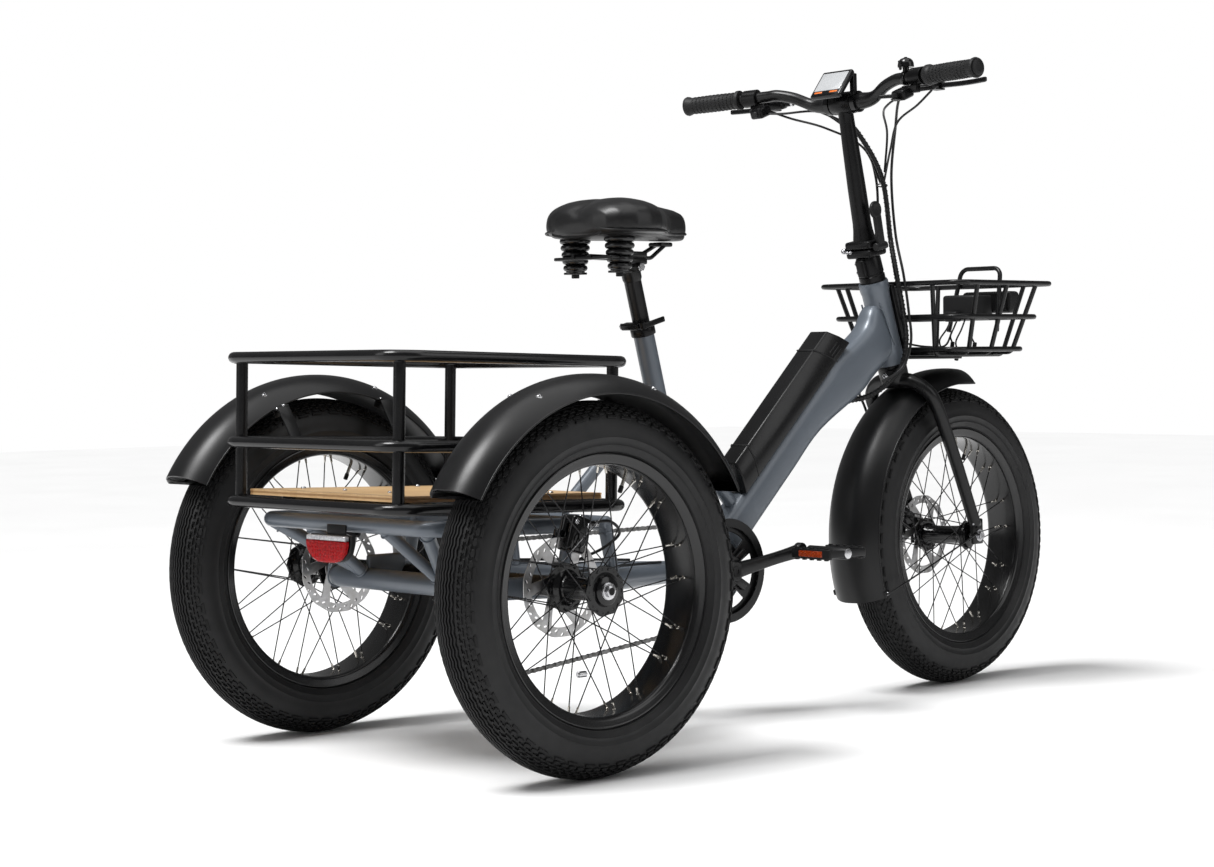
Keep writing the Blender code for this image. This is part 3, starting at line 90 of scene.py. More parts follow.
SEAT_CLAMP = Vector((0, -0.456, 0.697))
CRANK = Vector((0, -0.604, 0.268))
FRONT_AXLE = Vector((0, -1.286, 0.294))
WHEEL_RADIUS = 0.294
TRACK = 0.724
CHAIN_X = -0.050
CHAIN_PITCH = 0.0127
X, Y, Z = Vector((1, 0, 0)), Vector((0, 1, 0)), Vector((0, 0, 1))
SIDES = (("left", 1), ("right", -1))

axle_low, axle_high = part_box("rear_axle")
BIKE = Matrix.Translation((0, (axle_low.y + axle_high.y) / 2, 0))
STEERED = (BIKE @ Matrix.Translation(HEAD_TOP) @ Matrix.Rotation(REST_STEER, 4, STEER_UP)
           @ Matrix.Translation(-HEAD_TOP))


# Materials

def nodes_of(name):
    made = bpy.data.materials.new(name)
    made.use_nodes = True
    tree = made.node_tree
    return made, tree, tree.nodes["Principled BSDF"]


def link(tree, a, b):
    tree.links.new(a, b)


def noise(tree, place, scale, detail=3.0, rough=0.55):
    node = tree.nodes.new("ShaderNodeTexNoise")
    node.inputs["Scale"].default_value = scale
    node.inputs["Detail"].default_value = detail
    node.inputs["Roughness"].default_value = rough
    link(tree, place, node.inputs["Vector"])
    return node.outputs["Fac"]


def ramp(tree, value, low, high, out_low=0.0, out_high=1.0):
    node = tree.nodes.new("ShaderNodeMapRange")
    for socket, number in zip(("From Min", "From Max", "To Min", "To Max"),
                              (low, high, out_low, out_high)):
        node.inputs[socket].default_value = number
    link(tree, value, node.inputs["Value"])
    return node.outputs["Result"]


def blend_colours(tree, share, first, second):
    node = tree.nodes.new("ShaderNodeMix")
    node.data_type = "RGBA"
    link(tree, share, node.inputs["Factor"])
    for socket, colour in ((node.inputs[6], first), (node.inputs[7], second)):
        if isinstance(colour, tuple):
            socket.default_value = (*colour, 1)
        else:
            link(tree, colour, socket)
    return node.outputs[2]


def bump(tree, shader, height, strength, distance):
    node = tree.nodes.new("ShaderNodeBump")
    node.inputs["Strength"].default_value = strength
    node.inputs["Distance"].default_value = distance
    link(tree, height, node.inputs["Height"])
    link(tree, node.outputs["Normal"], shader.inputs["Normal"])


def finish(name, base, worn, rough, metal=0.0, coat=0.0, grain=900, grain_depth=0.00004,
           grain_strength=0.25, blotch=9.0, specular=0.5):
    """A surface whose colour and gloss drift a little, with a fine grain."""
    made, tree, shader = nodes_of(name)
    place = tree.nodes.new("ShaderNodeTexCoord").outputs["Object"]
    drift = noise(tree, place, blotch, 5)
    colour = blend_colours(tree, ramp(tree, drift, 0.35, 0.70), base, worn)
    link(tree, colour, shader.inputs["Base Color"])
    fine = noise(tree, place, grain, 2)
    smudge = noise(tree, place, blotch * 3.7, 4)
    link(tree, ramp(tree, smudge, 0.3, 0.75, rough * 0.88, min(1.0, rough * 1.15)),
         shader.inputs["Roughness"])
    shader.inputs["Metallic"].default_value = metal
    shader.inputs["Specular IOR Level"].default_value = specular
    shader.inputs["Coat Weight"].default_value = coat
    shader.inputs["Coat Roughness"].default_value = 0.12
    bump(tree, shader, fine, grain_strength, grain_depth)
    return made


def bamboo():
    """Laminated bamboo: long thin strips, each its own shade, with fibres and a node here and there."""
    made, tree, shader = nodes_of("bamboo")
    place = tree.nodes.new("ShaderNodeTexCoord").outputs["Object"]
    split = tree.nodes.new("ShaderNodeSeparateXYZ")
    link(tree, place, split.inputs[0])

    def maths(operation, a, b=None):
        node = tree.nodes.new("ShaderNodeMath")
        node.operation = operation
        for socket, value in zip(node.inputs, (a, b)):
            if isinstance(value, float):
                socket.default_value = value
            elif value is not None:
                link(tree, value, socket)
        return node.outputs[0]

    strip = maths("FLOOR", maths("MULTIPLY", split.outputs["X"], 55.0))
    white = tree.nodes.new("ShaderNodeTexWhiteNoise")
    white.noise_dimensions = "1D"
    link(tree, strip, white.inputs["W"])
    stretch = tree.nodes.new("ShaderNodeMapping")
    stretch.inputs["Scale"].default_value = (60, 2.2, 60)
    link(tree, place, stretch.inputs["Vector"])
    fibres = noise(tree, stretch.outputs["Vector"], 14, 6, 0.7)
    tone = blend_colours(tree, white.outputs["Value"], (0.60, 0.385, 0.185), (0.70, 0.475, 0.25))
    tone = blend_colours(tree, ramp(tree, fibres, 0.42, 0.72, 0, 0.6), tone, (0.47, 0.27, 0.115))
    seam = maths("FRACT", maths("MULTIPLY", split.outputs["X"], 55.0))
    edge = maths("LESS_THAN", seam, 0.04)
    tone = blend_colours(tree, maths("MULTIPLY", edge, 0.45), tone, (0.34, 0.19, 0.08))
    link(tree, tone, shader.inputs["Base Color"])
    link(tree, ramp(tree, fibres, 0.3, 0.8, 0.36, 0.5), shader.inputs["Roughness"])
    shader.inputs["Coat Weight"].default_value = 0.25
    shader.inputs["Coat Roughness"].default_value = 0.2
    bump(tree, shader, fibres, 0.25, 0.0002)
    return made


def cellular(name, base, worn, rough, scale, depth, strength, metal=0.0, coat=0.0, emission=0.0,
             specular=0.5):
    """A pebbled surface: leather grain, rubber knurling or the prisms of a reflector."""
    made, tree, shader = nodes_of(name)
    place = tree.nodes.new("ShaderNodeTexCoord").outputs["Object"]
    cells = tree.nodes.new("ShaderNodeTexVoronoi")
    cells.inputs["Scale"].default_value = scale
    link(tree, place, cells.inputs["Vector"])
    drift = noise(tree, place, 11, 4)
    share = ramp(tree, cells.outputs["Distance"], 0.1, 0.7)
    colour = blend_colours(tree, share, base, worn)
    colour = blend_colours(tree, ramp(tree, drift, 0.4, 0.75, 0, 0.4), colour, worn)
    link(tree, colour, shader.inputs["Base Color"])
    link(tree, ramp(tree, drift, 0.3, 0.75, rough * 0.9, min(1, rough * 1.15)),
         shader.inputs["Roughness"])
    shader.inputs["Metallic"].default_value = metal
    shader.inputs["Specular IOR Level"].default_value = specular
    shader.inputs["Coat Weight"].default_value = coat
    # Where an emission is given, the surface glows in its own colour: a painted glow, since no lamp lights
    # these parts.
    if emission:
        link(tree, colour, shader.inputs["Emission Color"])
        shader.inputs["Emission Strength"].default_value = emission
    bump(tree, shader, cells.outputs["Distance"], strength, depth)
    return made


PAINT = finish("slate_paint", (0.102, 0.119, 0.142), (0.112, 0.131, 0.156), 0.38, 0.20, 0.20,
               grain=2200, grain_depth=0.00003, blotch=3)
SATIN = finish("satin_black", (0.0042, 0.0042, 0.0046), (0.0070, 0.0070, 0.0075), 0.30, 0.0, 0.05,
               grain=1600, grain_depth=0.00002, grain_strength=0.12, specular=0.26)
ANODISED = finish("anodised_black", (0.0055, 0.0055, 0.0060), (0.0095, 0.0095, 0.0100), 0.28, 0.45,
                  grain=1800, grain_depth=0.00002, grain_strength=0.10, specular=0.26)
PLASTIC = finish("black_plastic", (0.0060, 0.0060, 0.0065), (0.0095, 0.0095, 0.0100), 0.42,
                 grain=1300, grain_depth=0.00004, grain_strength=0.25, specular=0.25)
FENDER = finish("mudguard_plastic", (0.0046, 0.0046, 0.0050), (0.0075, 0.0075, 0.0080), 0.34,
                grain=1900, grain_depth=0.00003, grain_strength=0.18, blotch=4, specular=0.30)
GLOSS = finish("gloss_black", (0.0035, 0.0035, 0.0040), (0.0055, 0.0055, 0.0060), 0.13, 0.0, 0.12,
               grain=1500, grain_strength=0.05, specular=0.30)
TREAD = finish("tread_rubber", (0.0070, 0.0070, 0.0073), (0.0120, 0.0120, 0.0125), 0.60,
               grain=1400, grain_depth=0.00010, grain_strength=0.4, blotch=26, specular=0.22)
SIDEWALL = finish("sidewall_rubber", (0.0085, 0.0085, 0.0090), (0.0130, 0.0130, 0.0135), 0.48,
                  grain=420, grain_depth=0.00008, grain_strength=0.25, blotch=18, specular=0.28)
RUBBER = finish("soft_rubber", (0.0075, 0.0075, 0.0080), (0.0120, 0.0120, 0.0125), 0.46,
                grain=1100, grain_depth=0.00006, grain_strength=0.25, specular=0.28)
BELLOWS = finish("bellows_rubber", (0.0045, 0.0045, 0.0050), (0.0070, 0.0070, 0.0075), 0.22, grain=1100,
                 grain_depth=0.00004, grain_strength=0.10, specular=0.45)
CABLE = finish("cable_sheath", (0.0060, 0.0060, 0.0063), (0.0095, 0.0095, 0.0100), 0.36, grain=1500,
               grain_strength=0.10, specular=0.28)
SILVER = finish("bright_steel", (0.56, 0.56, 0.57), (0.40, 0.40, 0.42), 0.24, 1.0,
                grain=1300, blotch=60)
DISC = finish("brushed_disc", (0.52, 0.52, 0.53), (0.38, 0.37, 0.36), 0.33, 1.0,
              grain=900, blotch=45, grain_strength=0.5)
CHAIN_STEEL = finish("chain_steel", (0.20, 0.20, 0.20), (0.08, 0.077, 0.072), 0.36, 1.0,
                     grain=900, blotch=90)
BRASS = finish("nipple_brass", (0.62, 0.60, 0.56), (0.45, 0.42, 0.37), 0.25, 1.0, blotch=70)
LEATHER = cellular("saddle_vinyl", (0.0050, 0.0050, 0.0055), (0.0085, 0.0085, 0.0090), 0.36,
                   620, 0.00018, 0.30, specular=0.34)
KNURL = cellular("grip_rubber", (0.0080, 0.0080, 0.0085), (0.0130, 0.0130, 0.0135), 0.52, 430, 0.0004, 0.6,
                 specular=0.25)
# The red lens carries a faint emission of its own red: a painted glow, not a lit lamp.
RED = cellular("red_reflector", (0.46, 0.0010, 0.003), (0.20, 0.0, 0.002), 0.22, 330, 0.0006, 0.6,
               coat=0.05, emission=0.06, specular=0.14)
# The pedal reflectors carry a faint emission of their own amber: a painted glow, as they are no lamp.
AMBER = cellular("amber_reflector", (0.42, 0.055, 0.004), (0.22, 0.020, 0.002), 0.18, 420, 0.0010, 0.9,
                 coat=0.25, emission=0.05, specular=0.30)
CLEAR = cellular("clear_reflector", (0.72, 0.72, 0.74), (0.40, 0.40, 0.42), 0.12, 330, 0.0010, 0.9,
                 metal=0.35, coat=0.5)
SCREEN = finish("display_glass", (0.40, 0.41, 0.42), (0.44, 0.45, 0.46), 0.12, 0.0, 0.6,
                grain=200, grain_strength=0.05)
ORANGE = finish("orange_band", (0.72, 0.17, 0.02), (0.66, 0.14, 0.02), 0.30, 0.0, 0.3)
WOOD = bamboo()
WOOD_CORE = finish("bamboo_core", (0.42, 0.25, 0.11), (0.34, 0.19, 0.08), 0.55, grain=600,
                   grain_strength=0.5, blotch=120)
FORK_BLACK = finish("fork_black", (0.0046, 0.0046, 0.0050), (0.0070, 0.0070, 0.0075), 0.30, 0.1, 0.06,
                    grain=1600, grain_depth=0.00002, grain_strength=0.12, specular=0.28)
BATTERY = finish("battery_black", (0.0042, 0.0042, 0.0046), (0.0062, 0.0062, 0.0066), 0.26, 0.0, 0.08,
                 grain=1800, grain_depth=0.00002, grain_strength=0.10, blotch=5, specular=0.26)
RACK_BLACK = finish("rack_black", (0.0042, 0.0042, 0.0046), (0.0065, 0.0065, 0.0070), 0.22, 0.0, 0.10,
                    grain=2200, grain_depth=0.00001, grain_strength=0.08, specular=0.30)


# Shapes: vertices and faces that are added together and become one piece

class Shape:
    def __init__(self, verts=(), faces=()):
        self.verts = [Vector(v) for v in verts]
        self.faces = [tuple(f) for f in faces]

    def __add__(self, other):
        start = len(self.verts)
        whole = Shape()
        whole.verts = self.verts + other.verts
        whole.faces = self.faces + [tuple(k + start for k in f) for f in other.faces]
        return whole

    def moved(self, matrix):
        whole = Shape()
        whole.verts = [matrix @ v for v in self.verts]
        whole.faces = self.faces if matrix.determinant() > 0 else [f[::-1] for f in self.faces]
        return whole

    def mirrored(self):
        return self.moved(Matrix.Scale(-1, 4, X))


def facing(direction, up=Z):
    """A rotation whose Z axis points along the direction and whose Y axis leans towards up."""
    z = Vector(direction).normalized()
    y = Vector(up) - z * z.dot(Vector(up))
    y = y.normalized() if y.length > 1e-6 else z.orthogonal().normalized()
    return Matrix((y.cross(z), y, z)).transposed().to_4x4()


def grid(rows, closed_rows=False, closed_columns=True, caps=False):
    """Faces over rows of points that all have the same number of points."""
    count = len(rows[0])
    verts = [p for row in rows for p in row]
    faces = []
    for i in range(len(rows) if closed_rows else len(rows) - 1):
        near, far = i * count, (i + 1) % len(rows) * count
        for k in range(count if closed_columns else count - 1):
            after = (k + 1) % count
            faces.append((near + k, near + after, far + after, far + k))
    if caps:
        faces += [tuple(range(count))[::-1], tuple(range(len(verts) - count, len(verts)))]
    return Shape(verts, faces)


def sweep(points, radius, sides=12, closed=False, caps=True):
    """A round tube along the points. The radius is one number or one for each point."""
    points = [Vector(p) for p in points]
    count = len(points)
    radii = radius if isinstance(radius, (list, tuple)) else [radius] * count
    tangents = []
    for k in range(count):
        before = points[k - 1] if closed or k else points[0]
        after = points[(k + 1) % count] if closed or k < count - 1 else points[-1]
        tangents.append((after - before).normalized())
    side = tangents[0].orthogonal().normalized()
    rows = []
    for k in range(count):
        side = (side - tangents[k] * side.dot(tangents[k])).normalized()
        other = tangents[k].cross(side)
        rows.append([points[k] + (side * math.cos(a) + other * math.sin(a)) * radii[k]
                     for a in (2 * math.pi * n / sides for n in range(sides))])
    if not closed:
        return grid(rows, caps=caps)
    # turn the last stretch back to the first, so that the tube closes without a twist
    ahead = (side - tangents[0] * side.dot(tangents[0])).normalized()
    first = (rows[0][0] - points[0]).normalized()
    twist = math.atan2(tangents[0].dot(ahead.cross(first)), ahead.dot(first))
    for k in range(count):
        spin = Matrix.Rotation(twist * k / count, 3, tangents[k])
        rows[k] = [points[k] + spin @ (p - points[k]) for p in rows[k]]
    return grid(rows, closed_rows=True)


def smooth(points, steps=6, closed=False):
    """Points on a smooth curve through the given ones, evenly shared between each pair."""
    ends = [Vector(p) for p in points]
    if closed:
        ends = [ends[-1]] + ends + ends[:2]
    else:
        ends = [2 * ends[0] - ends[1]] + ends + [2 * ends[-1] - ends[-2]]
    route = []
    for before, start, end, after in zip(ends, ends[1:], ends[2:], ends[3:]):
        for k in range(steps):
            t = k / steps
            route.append(0.5 * (2 * start + (end - before) * t
                                + (2 * before - 5 * start + 4 * end - after) * t ** 2
                                + (3 * start - before - 3 * end + after) * t ** 3))
    return route if closed else route + [ends[-2]]


def rounded(points, radius, steps=8, closed=False):
    """Straight runs through the points, with each corner replaced by an arc."""
    points = [Vector(p) for p in points]
    route = []
    for k, corner in enumerate(points):
        if not closed and k in (0, len(points) - 1):
            route.append(corner)
            continue
        back = (points[k - 1] - corner).normalized()
        ahead = (points[(k + 1) % len(points)] - corner).normalized()
        half = back.angle(ahead) / 2
        middle = (back + ahead).normalized()
        centre = corner + middle * radius / math.sin(half)
        reach = radius / math.tan(half)
        first = (corner + back * reach - centre).normalized()
        last = (corner + ahead * reach - centre).normalized()
        route += [centre + first.slerp(last, step / steps) * radius for step in range(steps + 1)]
    return route


def lathe(profile, steps=32, centre=(0, 0, 0), direction=X, ring=True):
    """(radius, height) points spun round the direction. A solid's profile starts and ends at 0."""
    turn = Matrix.Translation(centre) @ facing(direction)
    rows = []
    for k in range(steps):
        angle = 2 * math.pi * k / steps
        rows.append([turn @ Vector((r * math.cos(angle), r * math.sin(angle), h))
                     for r, h in profile])
    shape = grid(rows, closed_rows=True, closed_columns=ring)
    area = sum(a[0] * b[1] - b[0] * a[1] for a, b in zip(profile, profile[1:] + profile[:1]))
    if area > 0:
        shape.faces = [f[::-1] for f in shape.faces]
    return shape


def rod(start, end, radius, sides=24, edge=None, end_radius=None):
    """A round bar with slightly broken edges, as a lathe turns it."""
    start, end = Vector(start), Vector(end)
    length = (end - start).length
    last = radius if end_radius is None else end_radius
    edge = min(radius * 0.12, length * 0.2, 0.0008) if edge is None else edge
    profile = [(0, 0), (radius - edge, 0), (radius, edge), (last, length - edge),
               (last - edge, length), (0, length)]
    return lathe(profile, sides, start, end - start, ring=False)


def block(size, centre=(0, 0, 0), turn=None, edge=0.001, segments=3):
    """A box with rounded edges."""
    shape = bmesh.new()
    bmesh.ops.create_cube(shape, size=1)
    bmesh.ops.scale(shape, vec=size, verts=shape.verts)
    if edge:
        bmesh.ops.bevel(shape, geom=shape.edges, offset=min(edge, min(size) * 0.45),
                        segments=segments, profile=0.5, affect="EDGES")
    shape.verts.index_update()
    made = Shape([v.co for v in shape.verts], [[v.index for v in f.verts] for f in shape.faces])
    shape.free()
    place = Matrix.Translation(centre) @ (turn if turn is not None else Matrix.Identity(4))
    return made.moved(place)


def tilt(degrees, axis="X"):
    return Matrix.Rotation(math.radians(degrees), 4, axis)


def plate(outline, thickness, place=None, holes=(), edge=0.0004):
    """A flat outline of (u, v) points, filled round its holes, with broken edges."""
    curve = bpy.data.curves.new("plate", "CURVE")
    curve.dimensions = "2D"
    curve.fill_mode = "BOTH"
    curve.extrude = thickness / 2 - edge
    curve.bevel_depth = edge
    curve.bevel_resolution = 0
    curve.offset = -edge
    for ring in (outline, *holes):
        spline = curve.splines.new("POLY")
        spline.points.add(len(ring) - 1)
        for point, (u, v) in zip(spline.points, ring):
            point.co = (u, v, 0, 1)
        spline.use_cyclic_u = True
    drawn = bpy.data.objects.new("plate", curve)
    bpy.context.scene.collection.objects.link(drawn)
    mesh = bpy.data.meshes.new_from_object(
        drawn.evaluated_get(bpy.context.evaluated_depsgraph_get()))
    made = Shape([v.co for v in mesh.vertices], [tuple(f.vertices) for f in mesh.polygons])
    bpy.data.objects.remove(drawn, do_unlink=True)
    bpy.data.meshes.remove(mesh)
    return made.moved(place if place is not None else Matrix.Identity(4))


YZ = Matrix(((0, 0, 1, 0), (1, 0, 0, 0), (0, 1, 0, 0), (0, 0, 0, 1)))    # (u, v) to (y, z)


def circle(centre, radius, count, start=0.0, swept=360.0):
    whole = swept >= 360
    angles = [math.radians(start + swept * k / (count if whole else count - 1))
              for k in range(count)]
    return [(centre[0] + radius * math.cos(a), centre[1] + radius * math.sin(a)) for a in angles]


def dome_bolt(place, direction, radius=0.0045, socket=True):
    """A button-head screw with a hexagon socket."""
    r = radius
    profile = [(0, -0.2 * r), (1.15 * r, -0.2 * r), (1.15 * r, 0.02 * r), (r, 0.05 * r),
               (0.97 * r, 0.3 * r), (0.75 * r, 0.6 * r), (0.5 * r, 0.72 * r)]
    profile += [(0.42 * r, 0.70 * r), (0.40 * r, 0.25 * r), (0, 0.25 * r)] if socket else \
        [(0.25 * r, 0.8 * r), (0, 0.82 * r)]
    return lathe(profile, 12, place, direction, ring=False)


def hex_nut(place, direction, radius=0.008, height=0.006):
    turn = Matrix.Translation(place) @ facing(direction)
    ring = [Vector((radius * math.cos(a), radius * math.sin(a), 0))
            for a in (math.pi / 3 * k for k in range(6))]
    rows = [[turn @ (p * s + Z * h) for p in ring]
            for s, h in ((0.92, 0), (1, height * 0.12), (1, height * 0.88), (0.9, height))]
    return grid(rows, caps=True)


def piece(shape, name, body, look, replaces=(), matrix=None, sharp=38):
    """Make the piece, put it in place and hang it from its CAD body."""
    mesh = bpy.data.meshes.new(name)
    mesh.from_pydata(shape.verts, [], shape.faces)
    mesh.transform(BIKE if matrix is None else matrix)
    drawn = bmesh.new()
    drawn.from_mesh(mesh)
    bmesh.ops.remove_doubles(drawn, verts=drawn.verts, dist=0.000002)
    bmesh.ops.dissolve_degenerate(drawn, edges=drawn.edges, dist=0.000001)
    drawn.to_mesh(mesh)
    drawn.free()
    mesh.shade_smooth()
    mesh.set_sharp_from_angle(angle=math.radians(sharp))
    obj = bpy.data.objects.new(name, mesh)
    bpy.context.scene.collection.objects.link(obj)
    mesh.materials.append(look)
    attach(obj, body)
    if replaces:
        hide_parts(*([replaces] if isinstance(replaces, str) else replaces))
    return obj


# Wheels: drawn round the X axis at the origin, then moved to their places

TYRE_CENTRE = 0.2435                  # radius of the middle of the tyre's round section
CASING = 0.0472                       # radius of the casing that the tread stands on
ZIGS = 104                            # turns of the zigzag round the tyre


def on_tyre(turn, across, height):
    """A point on the tyre: its angle round the wheel, angle over the section, height off the casing."""
    reach = TYRE_CENTRE + (CASING + height) * math.cos(across)
    return Vector(((CASING + height) * math.sin(across), reach * math.cos(turn),
                   reach * math.sin(turn)))


def tyre_casing():
    """The casing with its smooth sidewalls, moulding lines and the bead under the rim's lips."""
    half = []
    for degrees in range(0, 91, 6):
        a = math.radians(degrees)
        half.append((TYRE_CENTRE + CASING * math.cos(a), CASING * math.sin(a)))
    wall = [(0.2385, 0.0486), (0.2375, 0.0492), (0.2365, 0.0487), (0.2315, 0.0479), (0.2265, 0.0464),
            (0.2257, 0.0469), (0.2249, 0.0460), (0.2200, 0.0434), (0.2160, 0.0402), (0.2150, 0.0405),
            (0.2140, 0.0385), (0.2110, 0.0350), (0.2030, 0.0340), (0.2030, 0.0280), (0.2250, 0.0330)]
    half = half + wall
    ring = half + [(r, -h) for r, h in half[::-1]][:-1]
    return lathe(ring, 120)


def rib(across, width, height, swing, phase):
    """One circumferential rib whose edges zigzag."""
    rows = []
    for k in range(2 * ZIGS):
        turn = math.pi * k / ZIGS
        shift = across + swing * (1 if (k + phase) % 2 else -1)
        rows.append([on_tyre(turn, shift - width, -0.002), on_tyre(turn, shift - width, height * 0.8),
                     on_tyre(turn, shift - width * 0.7, height), on_tyre(turn, shift + width * 0.7, height),
                     on_tyre(turn, shift + width, height * 0.8), on_tyre(turn, shift + width, -0.002)])
    shape = grid(rows, closed_rows=True)
    shape.faces = [f[::-1] for f in shape.faces]
    return shape


def tread_block(turn, across, outline, height, taper=0.82):
    """A small moulded block: an outline in (turn, across), narrowing a little to its top."""
    rings = []
    for lift, scale in ((-0.002, 1.06), (height * 0.85, 1.0), (height, taper)):
        rings.append([on_tyre(turn + u * scale, across + v * scale, lift) for u, v in outline])
    return grid(rings, caps=True)


def tread():
    shapes = []
    for across, width, height in ((0.0, 0.034, 0.0033), (0.125, 0.030, 0.0033), (-0.125, 0.030, 0.0033),
                                  (0.245, 0.030, 0.0032), (-0.245, 0.030, 0.0032),
                                  (0.370, 0.032, 0.0031), (-0.370, 0.032, 0.0031)):
        shapes.append(rib(across, width, height, 0.021, 0))
    step = 2 * math.pi / ZIGS
    chevron = [(-0.42, 0.030), (-0.20, 0.052), (0.0, 0.024), (0.20, 0.052), (0.42, 0.030),
               (0.10, -0.030), (0.0, -0.052), (-0.10, -0.030)]
    hook = [(-0.40, 0.050), (0.40, 0.050), (0.40, 0.010), (0.08, 0.004), (0.30, -0.050),
            (-0.30, -0.050), (-0.08, 0.004), (-0.40, 0.010)]
    square = [(-0.30, 0.055), (0.10, 0.060), (0.42, 0.020), (0.34, -0.050), (-0.10, -0.060),
              (-0.42, -0.020)]
    for sign in (1, -1):
        for k in range(ZIGS):
            for across, figure, lift, offset in ((0.500, chevron, 0.0033, 0.0), (0.625, hook, 0.0034, 0.5),
                                                 (0.755, chevron, 0.0034, 0.0),
                                                 (0.885, square, 0.0033, 0.5)):
                outline = [(u * step * 0.92, v * sign) for u, v in figure]
                outline = outline if sign > 0 else outline[::-1]
                shapes.append(tread_block((k + offset) * step, across * sign, outline[::-1], lift))
        for k in range(ZIGS // 2):
            wide = [(-0.62, 0.045), (0.62, 0.045), (0.50, -0.045), (-0.50, -0.045)]
            outline = [(u * step, v * sign) for u, v in wide]
            outline = outline if sign > 0 else outline[::-1]
            shapes.append(tread_block((2 * k + 0.5 + k % 2 * 0.2) * step, 1.015 * sign, outline[::-1],
                                      0.0026))
    return shapes


def joined(shapes):
    """Add many shapes in one go, which is much quicker than one after another."""
    whole = Shape()
    for shape in shapes:
        start = len(whole.verts)
        whole.verts.extend(shape.verts)
        whole.faces.extend(tuple(k + start for k in f) for f in shape.faces)
    return whole


def rim_shape():
    """A wide rim: a bed between two flanges whose lips are turned over."""
    half = [(0.1942, 0.0), (0.1942, 0.0290), (0.1950, 0.0335), (0.1975, 0.0372), (0.2010, 0.0388),
            (0.2085, 0.0392), (0.2105, 0.0400), (0.2122, 0.0392), (0.2124, 0.0378), (0.2110, 0.0366),
            (0.2085, 0.0368), (0.2040, 0.0366), (0.1995, 0.0340), (0.1985, 0.0250), (0.1960, 0.0180)]
    ring = half + [(r, -h) for r, h in half[:0:-1]]
    return lathe(ring, 120)


def hub_shape(flanges, ends, radii):
    """The shell with its two drilled, scalloped flanges."""
    low, high = flanges
    first, last = ends
    profile = [(0.0, first), (0.0200, first), (0.0226, first + 0.0015), (0.0230, low - 0.006),
               (0.0250, low - 0.0025), (radii[0] - 0.010, low - 0.0022), (radii[0] - 0.010, low + 0.0022),
               (0.0225, low + 0.006), (0.0185, low + 0.014), (0.0180, 0.5 * (low + high)),
               (0.0185, high - 0.014), (0.0225, high - 0.006), (radii[1] - 0.010, high - 0.0022),
               (radii[1] - 0.010, high + 0.0022), (0.0235, high + 0.0030), (0.0205, high + 0.005),
               (0.0185, last - 0.001), (0.0175, last), (0.0, last)]
    parts = [lathe(profile, 48, ring=False)]
    for x, radius in ((low, radii[0]), (high, radii[1])):
        outline = []
        for k in range(90):
            angle = 2 * math.pi * k / 90
            wave = 0.0011 * math.cos(9 * angle)
            outline.append(((radius + wave) * math.cos(angle), (radius + wave) * math.sin(angle)))
        holes = [circle(((radius - 0.005) * math.cos(a), (radius - 0.005) * math.sin(a)), 0.0015, 8)
                 for a in (2 * math.pi * k / 18 for k in range(18))]
        parts.append(plate(outline, 0.0044, Matrix.Translation((x, 0, 0)) @ YZ, holes, 0.0006))
    return joined(parts)


RIM_SEAT = 0.1945                       # where the spokes and the valve leave the rim


def spoke_ends(flanges, radii):
    """Where each spoke leaves its flange and where it meets the rim."""
    found = []
    for flange, radius, lean in ((flanges[0], radii[0], -1), (flanges[1], radii[1], 1)):
        for k in range(18):
            hub_angle = 2 * math.pi * k / 18
            rim_angle = hub_angle + math.radians(62) * (1 if k % 2 else -1)
            layer = lean * (0.0030 if k % 2 else -0.0030)
            foot = radius - 0.005
            start = Vector((flange + layer, foot * math.cos(hub_angle), foot * math.sin(hub_angle)))
            end = Vector((lean * 0.008, RIM_SEAT * math.cos(rim_angle), RIM_SEAT * math.sin(rim_angle)))
            found.append((start, end, Vector((-layer, 0, 0))))
    return found


def spokes_shape(flanges, radii):
    parts = []
    for start, end, bend in spoke_ends(flanges, radii):
        along = (end - start).normalized()
        parts.append(sweep([start + bend * 1.3, start + bend * 0.35, start + along * 0.0012,
                            end - along * 0.010], 0.00105, 8))
        parts.append(rod(start + bend * 1.15, start + bend * 1.6, 0.0022, 8))
    return joined(parts)


def nipples_shape(flanges, radii):
    parts = []
    for start, end, _ in spoke_ends(flanges, radii):
        back = (start - end).normalized()
        profile = [(0, -0.001), (0.0030, -0.001), (0.0031, 0.0015), (0.0021, 0.0025), (0.0019, 0.0115),
                   (0.0014, 0.0128), (0, 0.0128)]
        parts.append(lathe(profile, 8, end, back, ring=False))
    return joined(parts)


def rotor_shape():
    """A brake disc: a scalloped, slotted band on swept arms, and the ring that is bolted down."""
    outline = []
    for k in range(144):
        angle = 2 * math.pi * k / 144
        radius = 0.0797 - 0.0014 * (0.5 + 0.5 * math.cos(12 * angle))
        outline.append((radius * math.cos(angle), radius * math.sin(angle)))
    holes = [circle((0, 0), 0.0175, 24)]
    for k in range(6):
        start = 60 * k
        holes.append(circle((0, 0), 0.0635, 9, start + 8, 42)
                     + [(0.0300 * math.cos(math.radians(a)), 0.0300 * math.sin(math.radians(a)))
                        for a in (start + 68, start + 60, start + 52, start + 44, start + 38)])
        holes.append(circle((0.0218 * math.cos(math.radians(start + 20)),
                             0.0218 * math.sin(math.radians(start + 20))), 0.0026, 8))
        for m, reach in ((10, 0.0745), (20, 0.0690), (30, 0.0745), (40, 0.0690), (50, 0.0745),
                         (60, 0.0690)):
            a = math.radians(start + m)
            centre = (reach * math.cos(a), reach * math.sin(a))
            lean = a + 0.9
            slot = []
            for side, base in ((1, lean - math.pi / 2), (-1, lean + math.pi / 2)):
                for j in range(4):
                    b = base + math.pi * j / 3
                    slot.append((centre[0] + side * 0.0022 * math.cos(lean) + 0.0016 * math.cos(b),
                                 centre[1] + side * 0.0022 * math.sin(lean) + 0.0016 * math.sin(b)))
            holes.append(slot)
    return plate(outline, 0.0019, YZ, holes, 0.0002)


